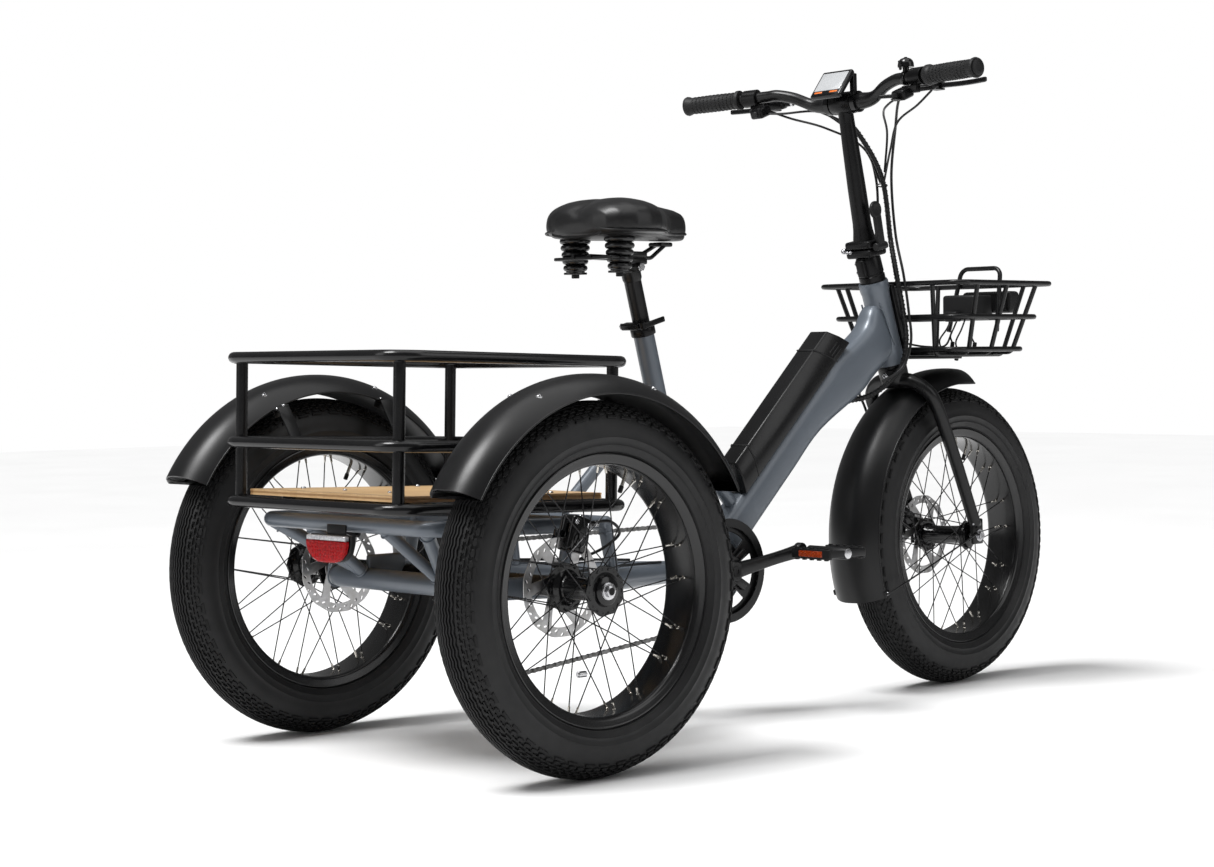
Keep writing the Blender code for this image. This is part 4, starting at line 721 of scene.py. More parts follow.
def bolt_ring(x, radius, count, size, direction, start=0.0, socket=True):
    return joined([dome_bolt((x, radius * math.cos(a), radius * math.sin(a)), direction, size, socket)
                   for a in (start + 2 * math.pi * k / count for k in range(count))])


def wheel(name, body, matrix, flanges, ends, radii, rotor_x, outer):
    """All of one wheel's pieces. `outer` is the sign of the side with the axle's end, or 0."""
    def add(shape, part, look, replaces=(), sharp=38):
        return piece(shape, f"{name}_{part}", body, look, replaces, matrix, sharp)

    add(tyre_casing(), "tyre_casing", SIDEWALL, f"{name}_tyre", 50)
    add(joined(tread()), "tyre_tread", TREAD, sharp=20)
    add(rim_shape(), "rim_band", RIM, f"{name}_rim")
    valve = Vector((0.004, RIM_SEAT * math.cos(2.0), RIM_SEAT * math.sin(2.0)))
    inward = -valve.normalized()
    inward.x = 0
    add(rod(valve, valve + inward * 0.022, 0.0028, 12), "valve", BRASS)
    add(rod(valve + inward * 0.0205, valve + inward * 0.032, 0.0038, 14, 0.0008), "valve_cap", RUBBER)
    add(hub_shape(flanges, ends, radii), "hub_shell", GLOSS, f"{name}_hub")
    add(spokes_shape(flanges, radii), "spokes", SPOKE)
    add(nipples_shape(flanges, radii), "nipples", BRASS)
    add(rotor_shape().moved(Matrix.Translation((rotor_x, 0, 0))), "disc", DISC,
        f"{name}_brake_rotor", 30)
    inward_sign = 1 if rotor_x > 0 else -1
    add(bolt_ring(rotor_x + inward_sign * 0.0012, 0.0218, 6, 0.0027, X * inward_sign,
                  math.radians(20)), "disc_bolts", SILVER, sharp=30)
    if outer:
        tip = ends[1] if outer > 0 else ends[0]
        add(lathe([(0.0090, tip - outer * 0.002), (0.0135, tip - outer * 0.002),
                   (0.0135, tip + outer * 0.0004), (0.0110, tip + outer * 0.0012),
                   (0.0090, tip + outer * 0.0012)], 32), "bearing_ring", SILVER)


RIM = finish("rim_black", (0.0050, 0.0050, 0.0054), (0.0080, 0.0080, 0.0085), 0.22, 0.15, 0.08,
             grain=500, grain_strength=0.12, blotch=7)
SPOKE = finish("spoke_black", (0.012, 0.012, 0.013), (0.03, 0.03, 0.031), 0.28, 0.6, blotch=40)

wheel("front", "front_wheel", STEERED @ Matrix.Translation(FRONT_AXLE), (-0.048, 0.048),
      (-0.058, 0.0575), (0.028, 0.033), 0.0590, 0)
for side, sign in SIDES:
    reach = (-0.057, 0.033) if sign > 0 else (-0.033, 0.057)
    ends = (-0.0655, 0.042) if sign > 0 else (-0.042, 0.0655)
    wheel(f"rear_{side}", f"rear_{side}_wheel",
          BIKE @ Matrix.Translation((sign * TRACK / 2, 0, WHEEL_RADIUS)), reach, ends,
          (0.039, 0.039), sign * (0.2945 - TRACK / 2), sign)

magnet = Vector((-0.012, 0.030, -0.128))
piece(rod(magnet - Y * 0.008, magnet + Y * 0.008, 0.0050, 20) + rod(magnet - Y * 0.0095,
      magnet - Y * 0.0075, 0.0035, 16) + rod(magnet + Y * 0.0075, magnet + Y * 0.0095, 0.0035, 16),
      "spoke_magnet", "rear_right_wheel", SILVER,
      matrix=BIKE @ Matrix.Translation((-TRACK / 2, 0, WHEEL_RADIUS)))


# Mudguards

RACK_FOOT = 0.418                       # the rack's lowest ring, and its half width and depth
RACK_X, RACK_Y = 0.236, 0.243
HEIGHTS = (0.0, 0.0970, 0.2355)


GUARD_HALF_WIDTH = 0.0598
GUARD_DROP = 0.030                      # from the crown down to the edge, along a power curve
GUARD_POWER = 2.6
REAR_CROWN, FRONT_CROWN = 0.3355, 0.3330


def guard_shell(start, end, crown_radius, half_width=GUARD_HALF_WIDTH):
    """An arched shell with its edges rolled into a bead and its ends cut straight."""
    section = []
    for k in range(25):
        across = -1 + 2 * k / 24
        section.append((across * half_width, crown_radius - GUARD_DROP * abs(across) ** GUARD_POWER))
    inner = [(x * 0.972, r - 0.0021) for x, r in section]
    lip = [(half_width - 0.0005, crown_radius - 0.0312), (half_width - 0.0022, crown_radius - 0.0318)]
    ring = section + lip + inner[::-1] + [(-x, r) for x, r in lip[::-1]]
    rows = []
    count = 64
    for k in range(count + 1):
        angle = math.radians(start + (end - start) * k / count)
        rows.append([Vector((x, r * math.cos(angle), r * math.sin(angle))) for x, r in ring])
    return grid(rows, caps=True)


def bead_along(start, end, crown_radius, half_width=0.0590):
    parts = []
    for sign in (1, -1):
        points = []
        for k in range(65):
            angle = math.radians(start + (end - start) * k / 64)
            reach = crown_radius - 0.0305
            points.append((sign * half_width, reach * math.cos(angle), reach * math.sin(angle)))
        parts.append(sweep(points, 0.0016, 8))
    return joined(parts)


front_guard = guard_shell(-20, 95, FRONT_CROWN) + bead_along(-20, 95, FRONT_CROWN)
front_place = STEERED @ Matrix.Translation(FRONT_AXLE)
piece(front_guard, "front_mudguard", "steering", FENDER, "front_fender",
      front_place, 50)
stay_foot = Vector((-0.079, 0.006, 0.004))
stay = [stay_foot, stay_foot + Vector((-0.004, 0.020, -0.004)), (-0.078, 0.150, -0.045),
        (-0.067, 0.2750, -0.0920), (-0.0605, 0.2830, -0.0945)]
wire = [sweep(smooth(stay, 5), 0.0017, 10), sweep(smooth([Vector((-p[0], p[1], p[2])) for p in stay], 5),
                                                   0.0017, 10)]
for sign in (1, -1):
    wire.append(block((0.004, 0.014, 0.010), (sign * 0.0612, 0.2835, -0.0950), tilt(-20), 0.001))
piece(joined(wire), "front_mudguard_stay", "steering", SATIN, matrix=front_place)
piece(joined([dome_bolt((sign * 0.0632, 0.2835, -0.0950), X * sign, 0.0032) for sign in (1, -1)]
             + [dome_bolt((sign * 0.079, 0.004, 0.004), X * sign, 0.0032) for sign in (1, -1)]),
      "front_mudguard_bolts", "steering", SILVER, matrix=front_place)

for side, sign in SIDES:
    place = BIKE @ Matrix.Translation((sign * TRACK / 2, 0, WHEEL_RADIUS))
    piece(guard_shell(30, 152, REAR_CROWN) + bead_along(30, 152, REAR_CROWN), f"mudguard_{side}", "frame",
          FENDER, f"rear_fender_{side}", place, 50)
    brackets, bolts = [], []
    for y in (-0.100, 0.120):
        angle = math.atan2(math.sqrt(0.305 ** 2 - y ** 2), y)
        radial = Vector((0, math.cos(angle), math.sin(angle)))
        lean = tilt(math.degrees(angle) - 90)
        inner = Vector((-sign * 0.0580, *(radial.yz * 0.3045)))
        brackets.append(block((0.024, 0.024, 0.0035), inner + Vector((-sign * 0.008, 0, 0)), lean, 0.001))
        bend = inner + X * (-sign * 0.0195)
        rail = Vector((sign * (RACK_X + 0.0105 - TRACK / 2), y - 0.004,
                       RACK_FOOT + HEIGHTS[1] - WHEEL_RADIUS))
        down = (rail - bend).normalized()
        brackets.append(block((0.0035, 0.024, (rail - bend).length + 0.004), (bend + rail) / 2,
                              facing(down, Y), 0.001))
        brackets.append(block((0.0022, 0.024, 0.016), inner + X * (-sign * 0.0032) - radial * 0.0065,
                              lean, 0.0008))
        for step in (-0.007, 0.007):
            across = Vector((0, -math.sin(angle), math.cos(angle))) * step
            bolts.append(dome_bolt(inner + X * (-sign * 0.011) + radial * 0.0016 + across, radial, 0.0030))
        for x in (-sign * 0.034, sign * 0.034):
            share = abs(x) / GUARD_HALF_WIDTH
            slope = math.copysign(GUARD_POWER * GUARD_DROP / GUARD_HALF_WIDTH * share ** (GUARD_POWER - 1),
                                  x)
            normal = (X * slope + radial).normalized()
            crown = Vector((x, *(radial.yz * (REAR_CROWN - GUARD_DROP * share ** GUARD_POWER))))
            bolts.append(dome_bolt(crown - normal * 0.0003, normal, 0.0042))
    piece(joined(brackets), f"mudguard_bracket_{side}", "frame", SATIN, matrix=place)
    piece(joined(bolts), f"mudguard_bolts_{side}", "frame", SILVER, matrix=place)


# Frame

SLOPE = math.radians(44.3)
UP_SLOPE = Vector((0, -math.cos(SLOPE), math.sin(SLOPE)))
OUT = Vector((0, math.sin(SLOPE), math.cos(SLOPE)))
TUBE_FOOT = Vector((0, -0.660, 0.285))
TUBE_HEIGHT = 0.067


def down_tube(s, height):
    return TUBE_FOOT + UP_SLOPE * s + OUT * height


def section(low, high, half, power=3.6, count=32):
    """A rounded rectangle between two points of the middle plane, `half` wide to each side."""
    centre, axis = (low + high) / 2, (high - low) / 2
    ring = []
    for k in range(count):
        a = 2 * math.pi * k / count
        c, s = math.cos(a), math.sin(a)
        u = math.copysign(abs(c) ** (2 / power), c)
        v = math.copysign(abs(s) ** (2 / power), s)
        ring.append(centre + X * half * u + axis * v)
    return ring


def loft_sections(stations, steps=5):
    """Smooth rows through stations of (low, high, half width)."""
    lows = smooth([s[0] for s in stations], steps)
    highs = smooth([s[1] for s in stations], steps)
    halves = smooth([Vector((s[2], 0, 0)) for s in stations], steps)
    rows = [section(a, b, h.x) for a, b, h in zip(lows, highs, halves)]
    shape = grid(rows, caps=True)
    return shape


def weld_ring(centre, direction, radius, thick=0.0022, beads=0):
    """A weld bead: a ring whose thickness ripples as the weld pool does."""
    turn = Matrix.Translation(centre) @ facing(direction)
    count = beads or max(24, int(2 * math.pi * radius / 0.0022))
    points, radii = [], []
    for k in range(count * 2):
        a = math.pi * k / count
        points.append(turn @ Vector((radius * math.cos(a), radius * math.sin(a), 0)))
        radii.append(thick * (1.0 if k % 2 else 0.80))
    return sweep(points, radii, 8, closed=True)


H = TUBE_HEIGHT
tube_stations = [(down_tube(-0.045, 0.006), down_tube(-0.060, H - 0.004), 0.0260),
                 (down_tube(0.000, 0.000), down_tube(0.000, H), 0.0280),
                 (down_tube(0.110, 0.000), down_tube(0.110, H), 0.0280),
                 (down_tube(0.220, 0.000), down_tube(0.220, H), 0.0280),
                 (down_tube(0.325, -0.001), down_tube(0.330, H), 0.0282),
                 (Vector((0, -1.0080, 0.5790)), down_tube(0.400, H), 0.0282),
                 (Vector((0, -1.0480, 0.6120)), down_tube(0.438, H + 0.002), 0.0278),
                 (Vector((0, -1.0830, 0.6400)), Vector((0, -1.0180, 0.7010)), 0.0270),
                 (Vector((0, -1.1080, 0.6600)), Vector((0, -1.0450, 0.7420)), 0.0245),
                 (Vector((0, -1.1180, 0.6700)), Vector((0, -1.0750, 0.7640)), 0.0200)]
shell = loft_sections(tube_stations)
head_bottom = HEAD_BOTTOM
collar = [(0.0, 0.0), (0.0285, 0.0), (0.0300, 0.0015), (0.0300, 0.014), (0.0280, 0.019),
          (0.0268, 0.040), (0.0262, 0.120), (0.0270, 0.150), (0.0288, 0.158), (0.0290, 0.172),
          (0.0278, 0.1750), (0.0, 0.1750)]
head_tube = lathe(collar, 48, head_bottom, STEER_UP, ring=False)
seat_foot = SEAT_CLAMP - SEAT_UP * 0.400
seat_tube = rod(seat_foot, SEAT_CLAMP - SEAT_UP * 0.0035, 0.0186, 36)
strut_top, strut_foot = SEAT_CLAMP - SEAT_UP * 0.130, Vector((0, -0.672, 0.385))
strut = rod(strut_top, strut_foot, 0.0130, 28)
cradle = lathe([(0.0566, 0.030), (0.0650, 0.030), (0.0680, 0.027), (0.0682, 0.0), (0.0680, -0.027),
                (0.0650, -0.030), (0.0566, -0.030)], 64, CRANK)
welds = [weld_ring(strut_top + (strut_foot - strut_top).normalized() * 0.019,
                   SEAT_UP.cross(X), 0.0150, 0.0020)]
main = joined([shell, head_tube, seat_tube, strut, cradle, *welds])
piece(main, "main_frame_welded", "frame", PAINT, "main_frame", sharp=40)

seam = []
for sign in (1, -1):
    route = [Vector((sign * 0.0235, -1.0585, 0.7520)), Vector((sign * 0.0262, -1.0700, 0.7300)),
             Vector((sign * 0.0268, -1.0850, 0.6980)), Vector((sign * 0.0268, -1.1000, 0.6720))]
    points = smooth(route, 14)
    seam.append(sweep(points, [0.0019 * (1 if k % 2 else 0.75) for k in range(len(points))], 8))
piece(joined(seam), "head_tube_welds", "frame", PAINT)

cups = joined([lathe([(0, 0.0004), (0.0275, 0.0004), (0.0282, 0.0012), (0.0265, 0.0080), (0.0255, 0.0100),
                      (0, 0.0100)], 48, HEAD_TOP - STEER_UP * 0.0098, STEER_UP, ring=False)])
lower_cup = lathe([(0, 0), (0.0290, 0), (0.0305, 0.0020), (0.0305, 0.0080), (0.0295, 0.0100),
                   (0, 0.0100)], 48, head_bottom - STEER_UP * 0.0005, STEER_UP, ring=False)
piece(cups + lower_cup, "headset_cups", "frame", ANODISED)

# the motor and its cover
motor = lathe([(0.0, 0.0445), (0.0300, 0.0445), (0.0320, 0.0430), (0.0480, 0.0425), (0.0525, 0.0405),
               (0.0562, 0.0365), (0.0562, -0.0360), (0.0520, -0.0405), (0.0330, -0.0420),
               (0.0310, -0.0405), (0.0, -0.0405)], 64, CRANK, ring=False)
ribs = [sweep([CRANK + Vector((0.0420, 0.034 * math.cos(a), 0.034 * math.sin(a))),
               CRANK + Vector((0.0420, 0.051 * math.cos(a), 0.051 * math.sin(a)))], 0.0018, 8)
        for a in (2 * math.pi * k / 20 for k in range(20))]
piece(joined([motor, *ribs]), "motor_case", "frame", PLASTIC, "motor_housing")
piece(joined([dome_bolt(CRANK + Vector((s * 0.0405, 0.0500 * math.cos(a), 0.0500 * math.sin(a))),
                        X * s, 0.0030)
              for s in (1, -1) for a in (0.4, 1.65, 2.9, 4.15, 5.4)]), "motor_screws", "frame",
      ANODISED)

# the rear frame: the same tubes as the CAD's, drawn round
stay = [(0.027, -0.545, 0.268), (0.030, -0.495, 0.270), (0.215, -0.060, 0.285),
        (0.215, 0.082, 0.290)]
loop = rounded(stay + [(-x, y, z) for x, y, z in reversed(stay)], 0.045, 10)
rear = [sweep(loop, 0.0177, 24)]
corners = [(0.225, 0.205, 0.3917), (-0.225, 0.205, 0.3917), (-0.225, -0.105, 0.3830),
           (0.225, -0.105, 0.3830)]
rear.append(sweep(rounded(corners, 0.035, 8, closed=True), 0.0127, 20, closed=True))
rear.append(rod((-0.134, -0.245, 0.3750), (0.134, -0.245, 0.3750), 0.0127, 24, 0.003))
rear.append(rod((0, -0.4830, 0.5910), (0, -0.250, 0.3790), 0.0113, 24))
rear_welds = [weld_ring((0, -0.2600, 0.3880), Vector((0, 0.233, -0.212)), 0.0125, 0.0018)]
for _, sign in SIDES:
    for start, end, radius in (((0.205, 0.198, 0.3880), (0.100, 0.078, 0.2960), 0.0112),
                               ((0.100, 0.205, 0.3905), (0.100, 0.081, 0.2930), 0.0102),
                               ((0.205, -0.100, 0.3820), (0.204, -0.078, 0.2860), 0.0112),
                               ((0.124, -0.246, 0.3730), (0.130, -0.262, 0.2790), 0.0112),
                               ((0.100, -0.243, 0.3760), (0.100, -0.108, 0.3810), 0.0097)):
        ends = [Vector((sign * x, y, z)) for x, y, z in (start, end)]
        rear.append(rod(*ends, radius, 24, 0.0002))
        along = (ends[1] - ends[0]).normalized()
        rear_welds.append(weld_ring(ends[0] + along * 0.014, along, radius + 0.0008, 0.0017))
        rear_welds.append(weld_ring(ends[1] - along * 0.0185, along, radius + 0.0008, 0.0017))
    rear.append(block((0.010, 0.078, 0.048), (sign * 0.100, 0.045, 0.3060), edge=0.004))
    rear.append(block((0.016, 0.122, 0.035), (sign * 0.226, 0.010, 0.2900), edge=0.005))
    rear_welds.append(weld_ring((sign * 0.190, 0.0815, 0.2900), X, 0.0180, 0.0018))
piece(joined(rear), "rear_frame_tubes", "frame", PAINT, "rear_subframe")
piece(joined(rear_welds), "rear_frame_welds", "frame", PAINT)

axle = [(0, 0.4125), (0.0060, 0.4125), (0.0063, 0.4119), (0.0063, 0.4100), (0.0085, 0.4100),
        (0.0085, 0.2755), (0.0164, 0.2750)]
axle = axle + [(r, -h) for r, h in reversed(axle)]
piece(lathe(axle, 32, (0, 0, WHEEL_RADIUS), ring=False), "rear_axle_shaft", "frame", ANODISED,
      "rear_axle")
nuts = []
for _, sign in SIDES:
    at = Vector((sign * 0.4046, 0, WHEEL_RADIUS))
    nuts.append(lathe([(0.0062, 0), (0.0128, 0), (0.0132, 0.0006), (0.0132, 0.0020), (0.0120, 0.0024),
                       (0.0062, 0.0024)], 32, at, X * sign))
    nuts.append(hex_nut(at + X * sign * 0.0024, X * sign, 0.0098, 0.0052))
piece(joined(nuts), "axle_nuts", "frame", SILVER)


# Cargo rack and deck

RACK = BIKE @ Matrix.Translation((0, 0.038, RACK_FOOT)) @ Matrix.Rotation(math.radians(1.6), 4, "X")
RAIL = 0.0092
rails, beads = [], []
for height in HEIGHTS:
    square = [(RACK_X, RACK_Y, height), (-RACK_X, RACK_Y, height), (-RACK_X, -RACK_Y, height),
              (RACK_X, -RACK_Y, height)]
    rails.append(sweep(rounded(square, 0.048, 10, closed=True), RAIL, 20, closed=True))
for sx in (-1, 1):
    for sy in (-1, 1):
        x, y = sx * (RACK_X - 0.0235), sy * (RACK_Y - 0.0235)
        rails.append(rod((x, y, -0.008), (x, y, HEIGHTS[2] - 0.002), 0.0097, 24))
        for height in HEIGHTS[:2]:
            for step in (-1, 1):
                beads.append(weld_ring((x + sx * 0.003, y + sy * 0.003, height + step * 0.0075), Z,
                                       0.0088, 0.0019))
        beads.append(weld_ring((x + sx * 0.002, y + sy * 0.002, HEIGHTS[2] - 0.0080), Z, 0.0092, 0.0019))
for y in (-0.120, 0.120):
    rails.append(rod((-RACK_X, y, -0.001), (RACK_X, y, -0.001), 0.0072, 20))
    for sx in (-1, 1):
        beads.append(weld_ring((sx * (RACK_X - 0.0085), y, -0.001), X, 0.0078, 0.0016))
piece(joined(rails), "rack_rails", "frame", RACK_BLACK, "cargo_rack", RACK)
piece(joined(beads), "rack_welds", "frame", RACK_BLACK, matrix=RACK)


def deck_outline(half_x, half_y, notch):
    """A rectangle whose corners are cut round the rack's posts."""
    outline = []
    for sx, sy in ((1, 1), (-1, 1), (-1, -1), (1, -1)):
        post = (0.2125, 0.2195)
        down_to = math.asin((post[0] - half_x) / notch)
        back_to = math.acos((post[1] - half_y) / notch)
        arc = []
        for k in range(13):
            a = down_to + (back_to - down_to) * k / 12
            arc.append((sx * (post[0] - notch * math.sin(a)), sy * (post[1] - notch * math.cos(a))))
        outline += arc if sx * sy > 0 else arc[::-1]
    return outline


layers = []
for k, (inset, low, high) in enumerate(((0.0, 0.0103, 0.0136), (0.0004, 0.0136, 0.0168),
                                        (0.0, 0.0168, 0.0201))):
    ring = deck_outline(0.200 - inset, 0.206 - inset, 0.0160 + inset)
    layers.append(plate(ring, high - low, Matrix.Translation((0, 0, (low + high) / 2)), (), 0.0003))
piece(layers[0] + layers[2], "deck_faces", "frame", WOOD, "cargo_deck", RACK)
piece(layers[1], "deck_core", "frame", WOOD_CORE, matrix=RACK)
screws = [dome_bolt((x, y, 0.0203), Z, 0.0042) for x in (-0.176, 0.176) for y in (-0.120, 0.120)]
screws += [dome_bolt((x, y, 0.0203), Z, 0.0034) for x in (-0.060, 0.060) for y in (-0.120, 0.120)]
piece(joined(screws), "deck_screws", "frame", SILVER, matrix=RACK)

# the red rear light with its bracket
LIGHT = Vector((0, 0.2310, 0.3560))


def light_outline(scale=1.0, top=0.020):
    raw = [(-0.055, top), (0.055, top), (0.0545, 0.004), (0.050, -0.008), (0.036, -0.020), (0.022, -0.0245),
           (-0.022, -0.0245), (-0.036, -0.020), (-0.050, -0.008), (-0.0545, 0.004)]
    return [(x * scale, z * scale) for x, z in raw]


light_place = Matrix.Translation(LIGHT) @ Matrix.Rotation(math.pi / 2, 4, "X")
red_lens = plate(light_outline(0.985, 0.0105), 0.010, light_place @ Matrix.Translation((0, 0, -0.0062)),
                 (), 0.0025)
facets = []
for k in range(13):
    for row in range(4):
        x = -0.042 + 0.007 * k
        z = 0.005 - 0.0065 * row
        if abs(x) < 0.046 - 0.0075 * max(0, row - 1):
            facets.append(block((0.0062, 0.003, 0.0056), LIGHT + Vector((x, 0.0108, z)),
                                tilt(45, "Y"), 0.0012, 1))
piece(red_lens + joined(facets), "rear_light_lens", "frame", RED, "rear_light")
piece(plate(light_outline(0.99, 0.0200), 0.010, light_place @ Matrix.Translation((0, 0, 0.0052)), (),
            0.0015), "rear_light_case", "frame", PLASTIC)
clear = [block((0.104, 0.0090, 0.0080), LIGHT + Vector((0, 0.0060, 0.0150)), edge=0.0018)]
clear += [rod(LIGHT + Vector((-0.044 + 0.0125 * k, 0.0095, 0.0150)),
              LIGHT + Vector((-0.044 + 0.0125 * k, 0.0112, 0.0150)), 0.0030, 16) for k in range(8)]
piece(joined(clear), "rear_light_window", "frame", CLEAR)
bracket = [block((0.050, 0.0030, 0.034), LIGHT + Vector((0, -0.0125, 0.018)), edge=0.001),
           block((0.050, 0.030, 0.0030), LIGHT + Vector((0, -0.0270, 0.0340)), edge=0.001)]
piece(joined(bracket), "rear_light_bracket", "frame", SATIN)


# Front basket and headlight

BASKET_Y = -1.250
BASKET = ((0.185, 0.1435, 0.7915), (0.163, 0.124, 0.7270), (0.142, 0.106, 0.6640))
WIRE = 0.0051
basket = []
for half_x, half_y, z in BASKET:
    ring = [(half_x, BASKET_Y + half_y, z), (-half_x, BASKET_Y + half_y, z),
            (-half_x, BASKET_Y - half_y, z), (half_x, BASKET_Y - half_y, z)]
    basket.append(sweep(rounded(ring, 0.030, 8, closed=True), WIRE, 14, closed=True))
for share in (-0.62, 0.0, 0.62):
    route = [(sign * (half_x - 0.004), BASKET_Y + share * half_y, z - (0.0 if z > 0.7 else 0.006))
             for sign, levels in ((1, (BASKET[0], BASKET[2])), (-1, (BASKET[2], BASKET[0])))
             for half_x, half_y, z in levels]
    basket.append(sweep(rounded(route, 0.015, 6), WIRE * 0.9, 12))
for share in (-0.60, 0.60):
    route = [(share * half_x, BASKET_Y + sign * (half_y - 0.004), z - (0.0 if z > 0.7 else 0.010))
             for sign, levels in ((1, (BASKET[0], BASKET[2])), (-1, (BASKET[2], BASKET[0])))
             for half_x, half_y, z in levels]
    basket.append(sweep(rounded(route, 0.015, 6), WIRE * 0.9, 12))
hoop = rounded([(0.062, -1.364, 0.7000), (0.050, -1.3915, 0.8270), (-0.050, -1.3915, 0.8270),
                (-0.062, -1.364, 0.7000)], 0.018, 8)
basket.append(sweep(hoop, WIRE * 0.9, 12))
basket.append(block((0.120, 0.190, 0.004), (0, BASKET_Y, 0.6580), edge=0.0012))
basket.append(block((0.052, 0.010, 0.150), (0, -1.1165, 0.7200), tilt(-18), 0.003))
basket.append(block((0.052, 0.170, 0.006), (0, -1.2150, 0.6490), edge=0.0015))
piece(joined(basket), "basket_wire", "frame", SATIN, "front_basket")
piece(joined([dome_bolt((x, y, 0.6602), Z, 0.0042) for x in (-0.018, 0.018) for y in (-1.20, -1.30)]
             + [dome_bolt(Vector((x, -1.1165, 0.7200)) + Vector((0, -0.0055, 0.0))
                          + Vector((0, math.sin(HEAD_ANGLE), math.cos(HEAD_ANGLE))) * h,
                          Vector((0, -1, 0.32)), 0.0042) for x in (-0.014, 0.014) for h in (-0.05, 0.05)]),
      "basket_bolts", "frame", SILVER)

FRONT = BASKET_Y - 0.1435 - 0.009
case = [block((0.125, 0.034, 0.044), (0, FRONT - 0.019, 0.7590), edge=0.008, segments=4),
        block((0.030, 0.012, 0.028), (0, FRONT - 0.001, 0.7450), edge=0.002)]
fins = [block((0.0022, 0.004, 0.034), (x, FRONT - 0.0015, 0.7600), edge=0.0006, segments=1)
        for x in (-0.052, -0.044, -0.036, -0.028, 0.028, 0.036, 0.044, 0.052)]
piece(joined(case + fins), "headlight_case", "frame", PLASTIC, "headlight_housing")
lamps = [block((0.106, 0.004, 0.029), (0, FRONT - 0.0350, 0.7590), edge=0.0015)]
lamps += [lathe([(0, 0), (0.0115, 0), (0.0115, 0.0010), (0.0070, 0.0020), (0.0040, 0.0014), (0, 0.0012)],
                24, (x, FRONT - 0.0368, 0.7590), -Y, ring=False) for x in (-0.034, 0.0, 0.034)]
piece(joined(lamps), "headlight_glass", "frame", CLEAR)
box = block((0.084, 0.058, 0.050), (0, -1.3480, 0.7480), edge=0.006)
piece(box + block((0.030, 0.020, 0.020), (0.010, -1.3150, 0.7300), edge=0.003), "light_control_box",
      "frame", PLASTIC)
leads = []
for k, (x, drop, swing) in enumerate(((-0.028, 0.052, -0.012), (-0.010, 0.066, 0.010),
                                      (0.010, 0.050, 0.004), (0.026, 0.060, 0.016))):
    top = Vector((x, -1.3300, 0.7260))
    points = [top, top + Vector((swing * 0.3, 0.010, -drop * 0.35)),
              top + Vector((swing, 0.018, -drop * 0.70)), top + Vector((swing * 1.2, 0.010, -drop))]
    leads.append(sweep(smooth(points, 6), 0.0017, 8))
    end = points[-1]
    leads.append(rod(end + Z * 0.004, end - Z * 0.018 + X * 0.004, 0.0042, 12, 0.001))
leads.append(sweep(smooth([(0.026, -1.331, 0.700), (0.010, -1.290, 0.6720), (-0.004, -1.220, 0.6700),
                           (-0.020, -1.150, 0.6750), (-0.034, -1.118, 0.6800)], 6), 0.0020, 8))
piece(joined(leads), "light_leads", "frame", CABLE)


# Fork, stem and bar

def bevelled(shape, width, segments=3, angle=30):
    """The same solid with its sharp edges rounded over."""
    mesh = bpy.data.meshes.new("bevelled")
    mesh.from_pydata(shape.verts, [], shape.faces)
    drawn = bmesh.new()
    drawn.from_mesh(mesh)
    bmesh.ops.remove_doubles(drawn, verts=drawn.verts, dist=0.00001)
    bmesh.ops.recalc_face_normals(drawn, faces=drawn.faces)
    edges = [e for e in drawn.edges if len(e.link_faces) == 2
             and e.calc_face_angle() > math.radians(angle)]
    bmesh.ops.bevel(drawn, geom=edges, offset=width, segments=segments, profile=0.5,
                    affect="EDGES", clamp_overlap=True)
    drawn.verts.index_update()
    made = Shape([v.co for v in drawn.verts], [[v.index for v in f.verts] for f in drawn.faces])
    drawn.free()
    bpy.data.meshes.remove(mesh)
    return made


fork = [rod(HEAD_BOTTOM - STEER_UP * 0.028, HEAD_TOP + STEER_UP * 0.030, 0.0143, 32),
        lathe([(0, -0.034), (0.0240, -0.034), (0.0272, -0.030), (0.0285, -0.016), (0.0285, -0.0012),
               (0.0, -0.0012)], 40, HEAD_BOTTOM, STEER_UP, ring=False)]
BENDS = [(0.006, 0.3510, 62.7), (0.042, 0.3440, 63.0), (0.068, 0.3200, 63.3),
         (0.0755, 0.2850, 63.8), (0.0745, 0.1710, 65.5), (0.0740, 0.0250, 71.6)]
for _, sign in SIDES:
    knots = [FRONT_AXLE + Vector((sign * x, reach * math.cos(math.radians(angle)),
                                  reach * math.sin(math.radians(angle)))) for x, reach, angle in BENDS]
    route = smooth(knots, 10)
    count = len(route) - 1
    radii = [0.0148 - 0.0026 * min(1, k / count * 1.1) + 0.0012 * max(0, 1 - k / 12) for k in
             range(count + 1)]
    fork.append(sweep(route, radii, 24))
    fork.append(bevelled(block((0.0075, 0.034, 0.050), (sign * 0.0740, -1.2845, 0.3020), edge=0), 0.003))
    fork.append(rod(route[-1] + Vector((0, 0, 0.004)), FRONT_AXLE + Vector((sign * 0.0740, 0.002, 0.020)),
                    0.0120, 20, end_radius=0.0105))
fork.append(block((0.007, 0.066, 0.030), (0.0800, -1.2310, 0.3440), edge=0.002))
piece(joined(fork), "fork_legs", "steering", FORK_BLACK, "fork", STEERED)
crown_back = HEAD_BOTTOM - STEER_UP * 0.018 + Vector((0, 0.028, 0))
bolts = [dome_bolt(crown_back, Vector((0, 1, -0.25)), 0.0060)]
bolts += [dome_bolt(Vector((sign * 0.0782, -1.268, 0.318)), X * sign, 0.0032) for _, sign in SIDES]
piece(joined(bolts), "fork_bolts", "steering", SILVER, matrix=STEERED)
shaft = [rod(FRONT_AXLE - X * 0.0860, FRONT_AXLE + X * 0.0840, 0.0058, 24)]
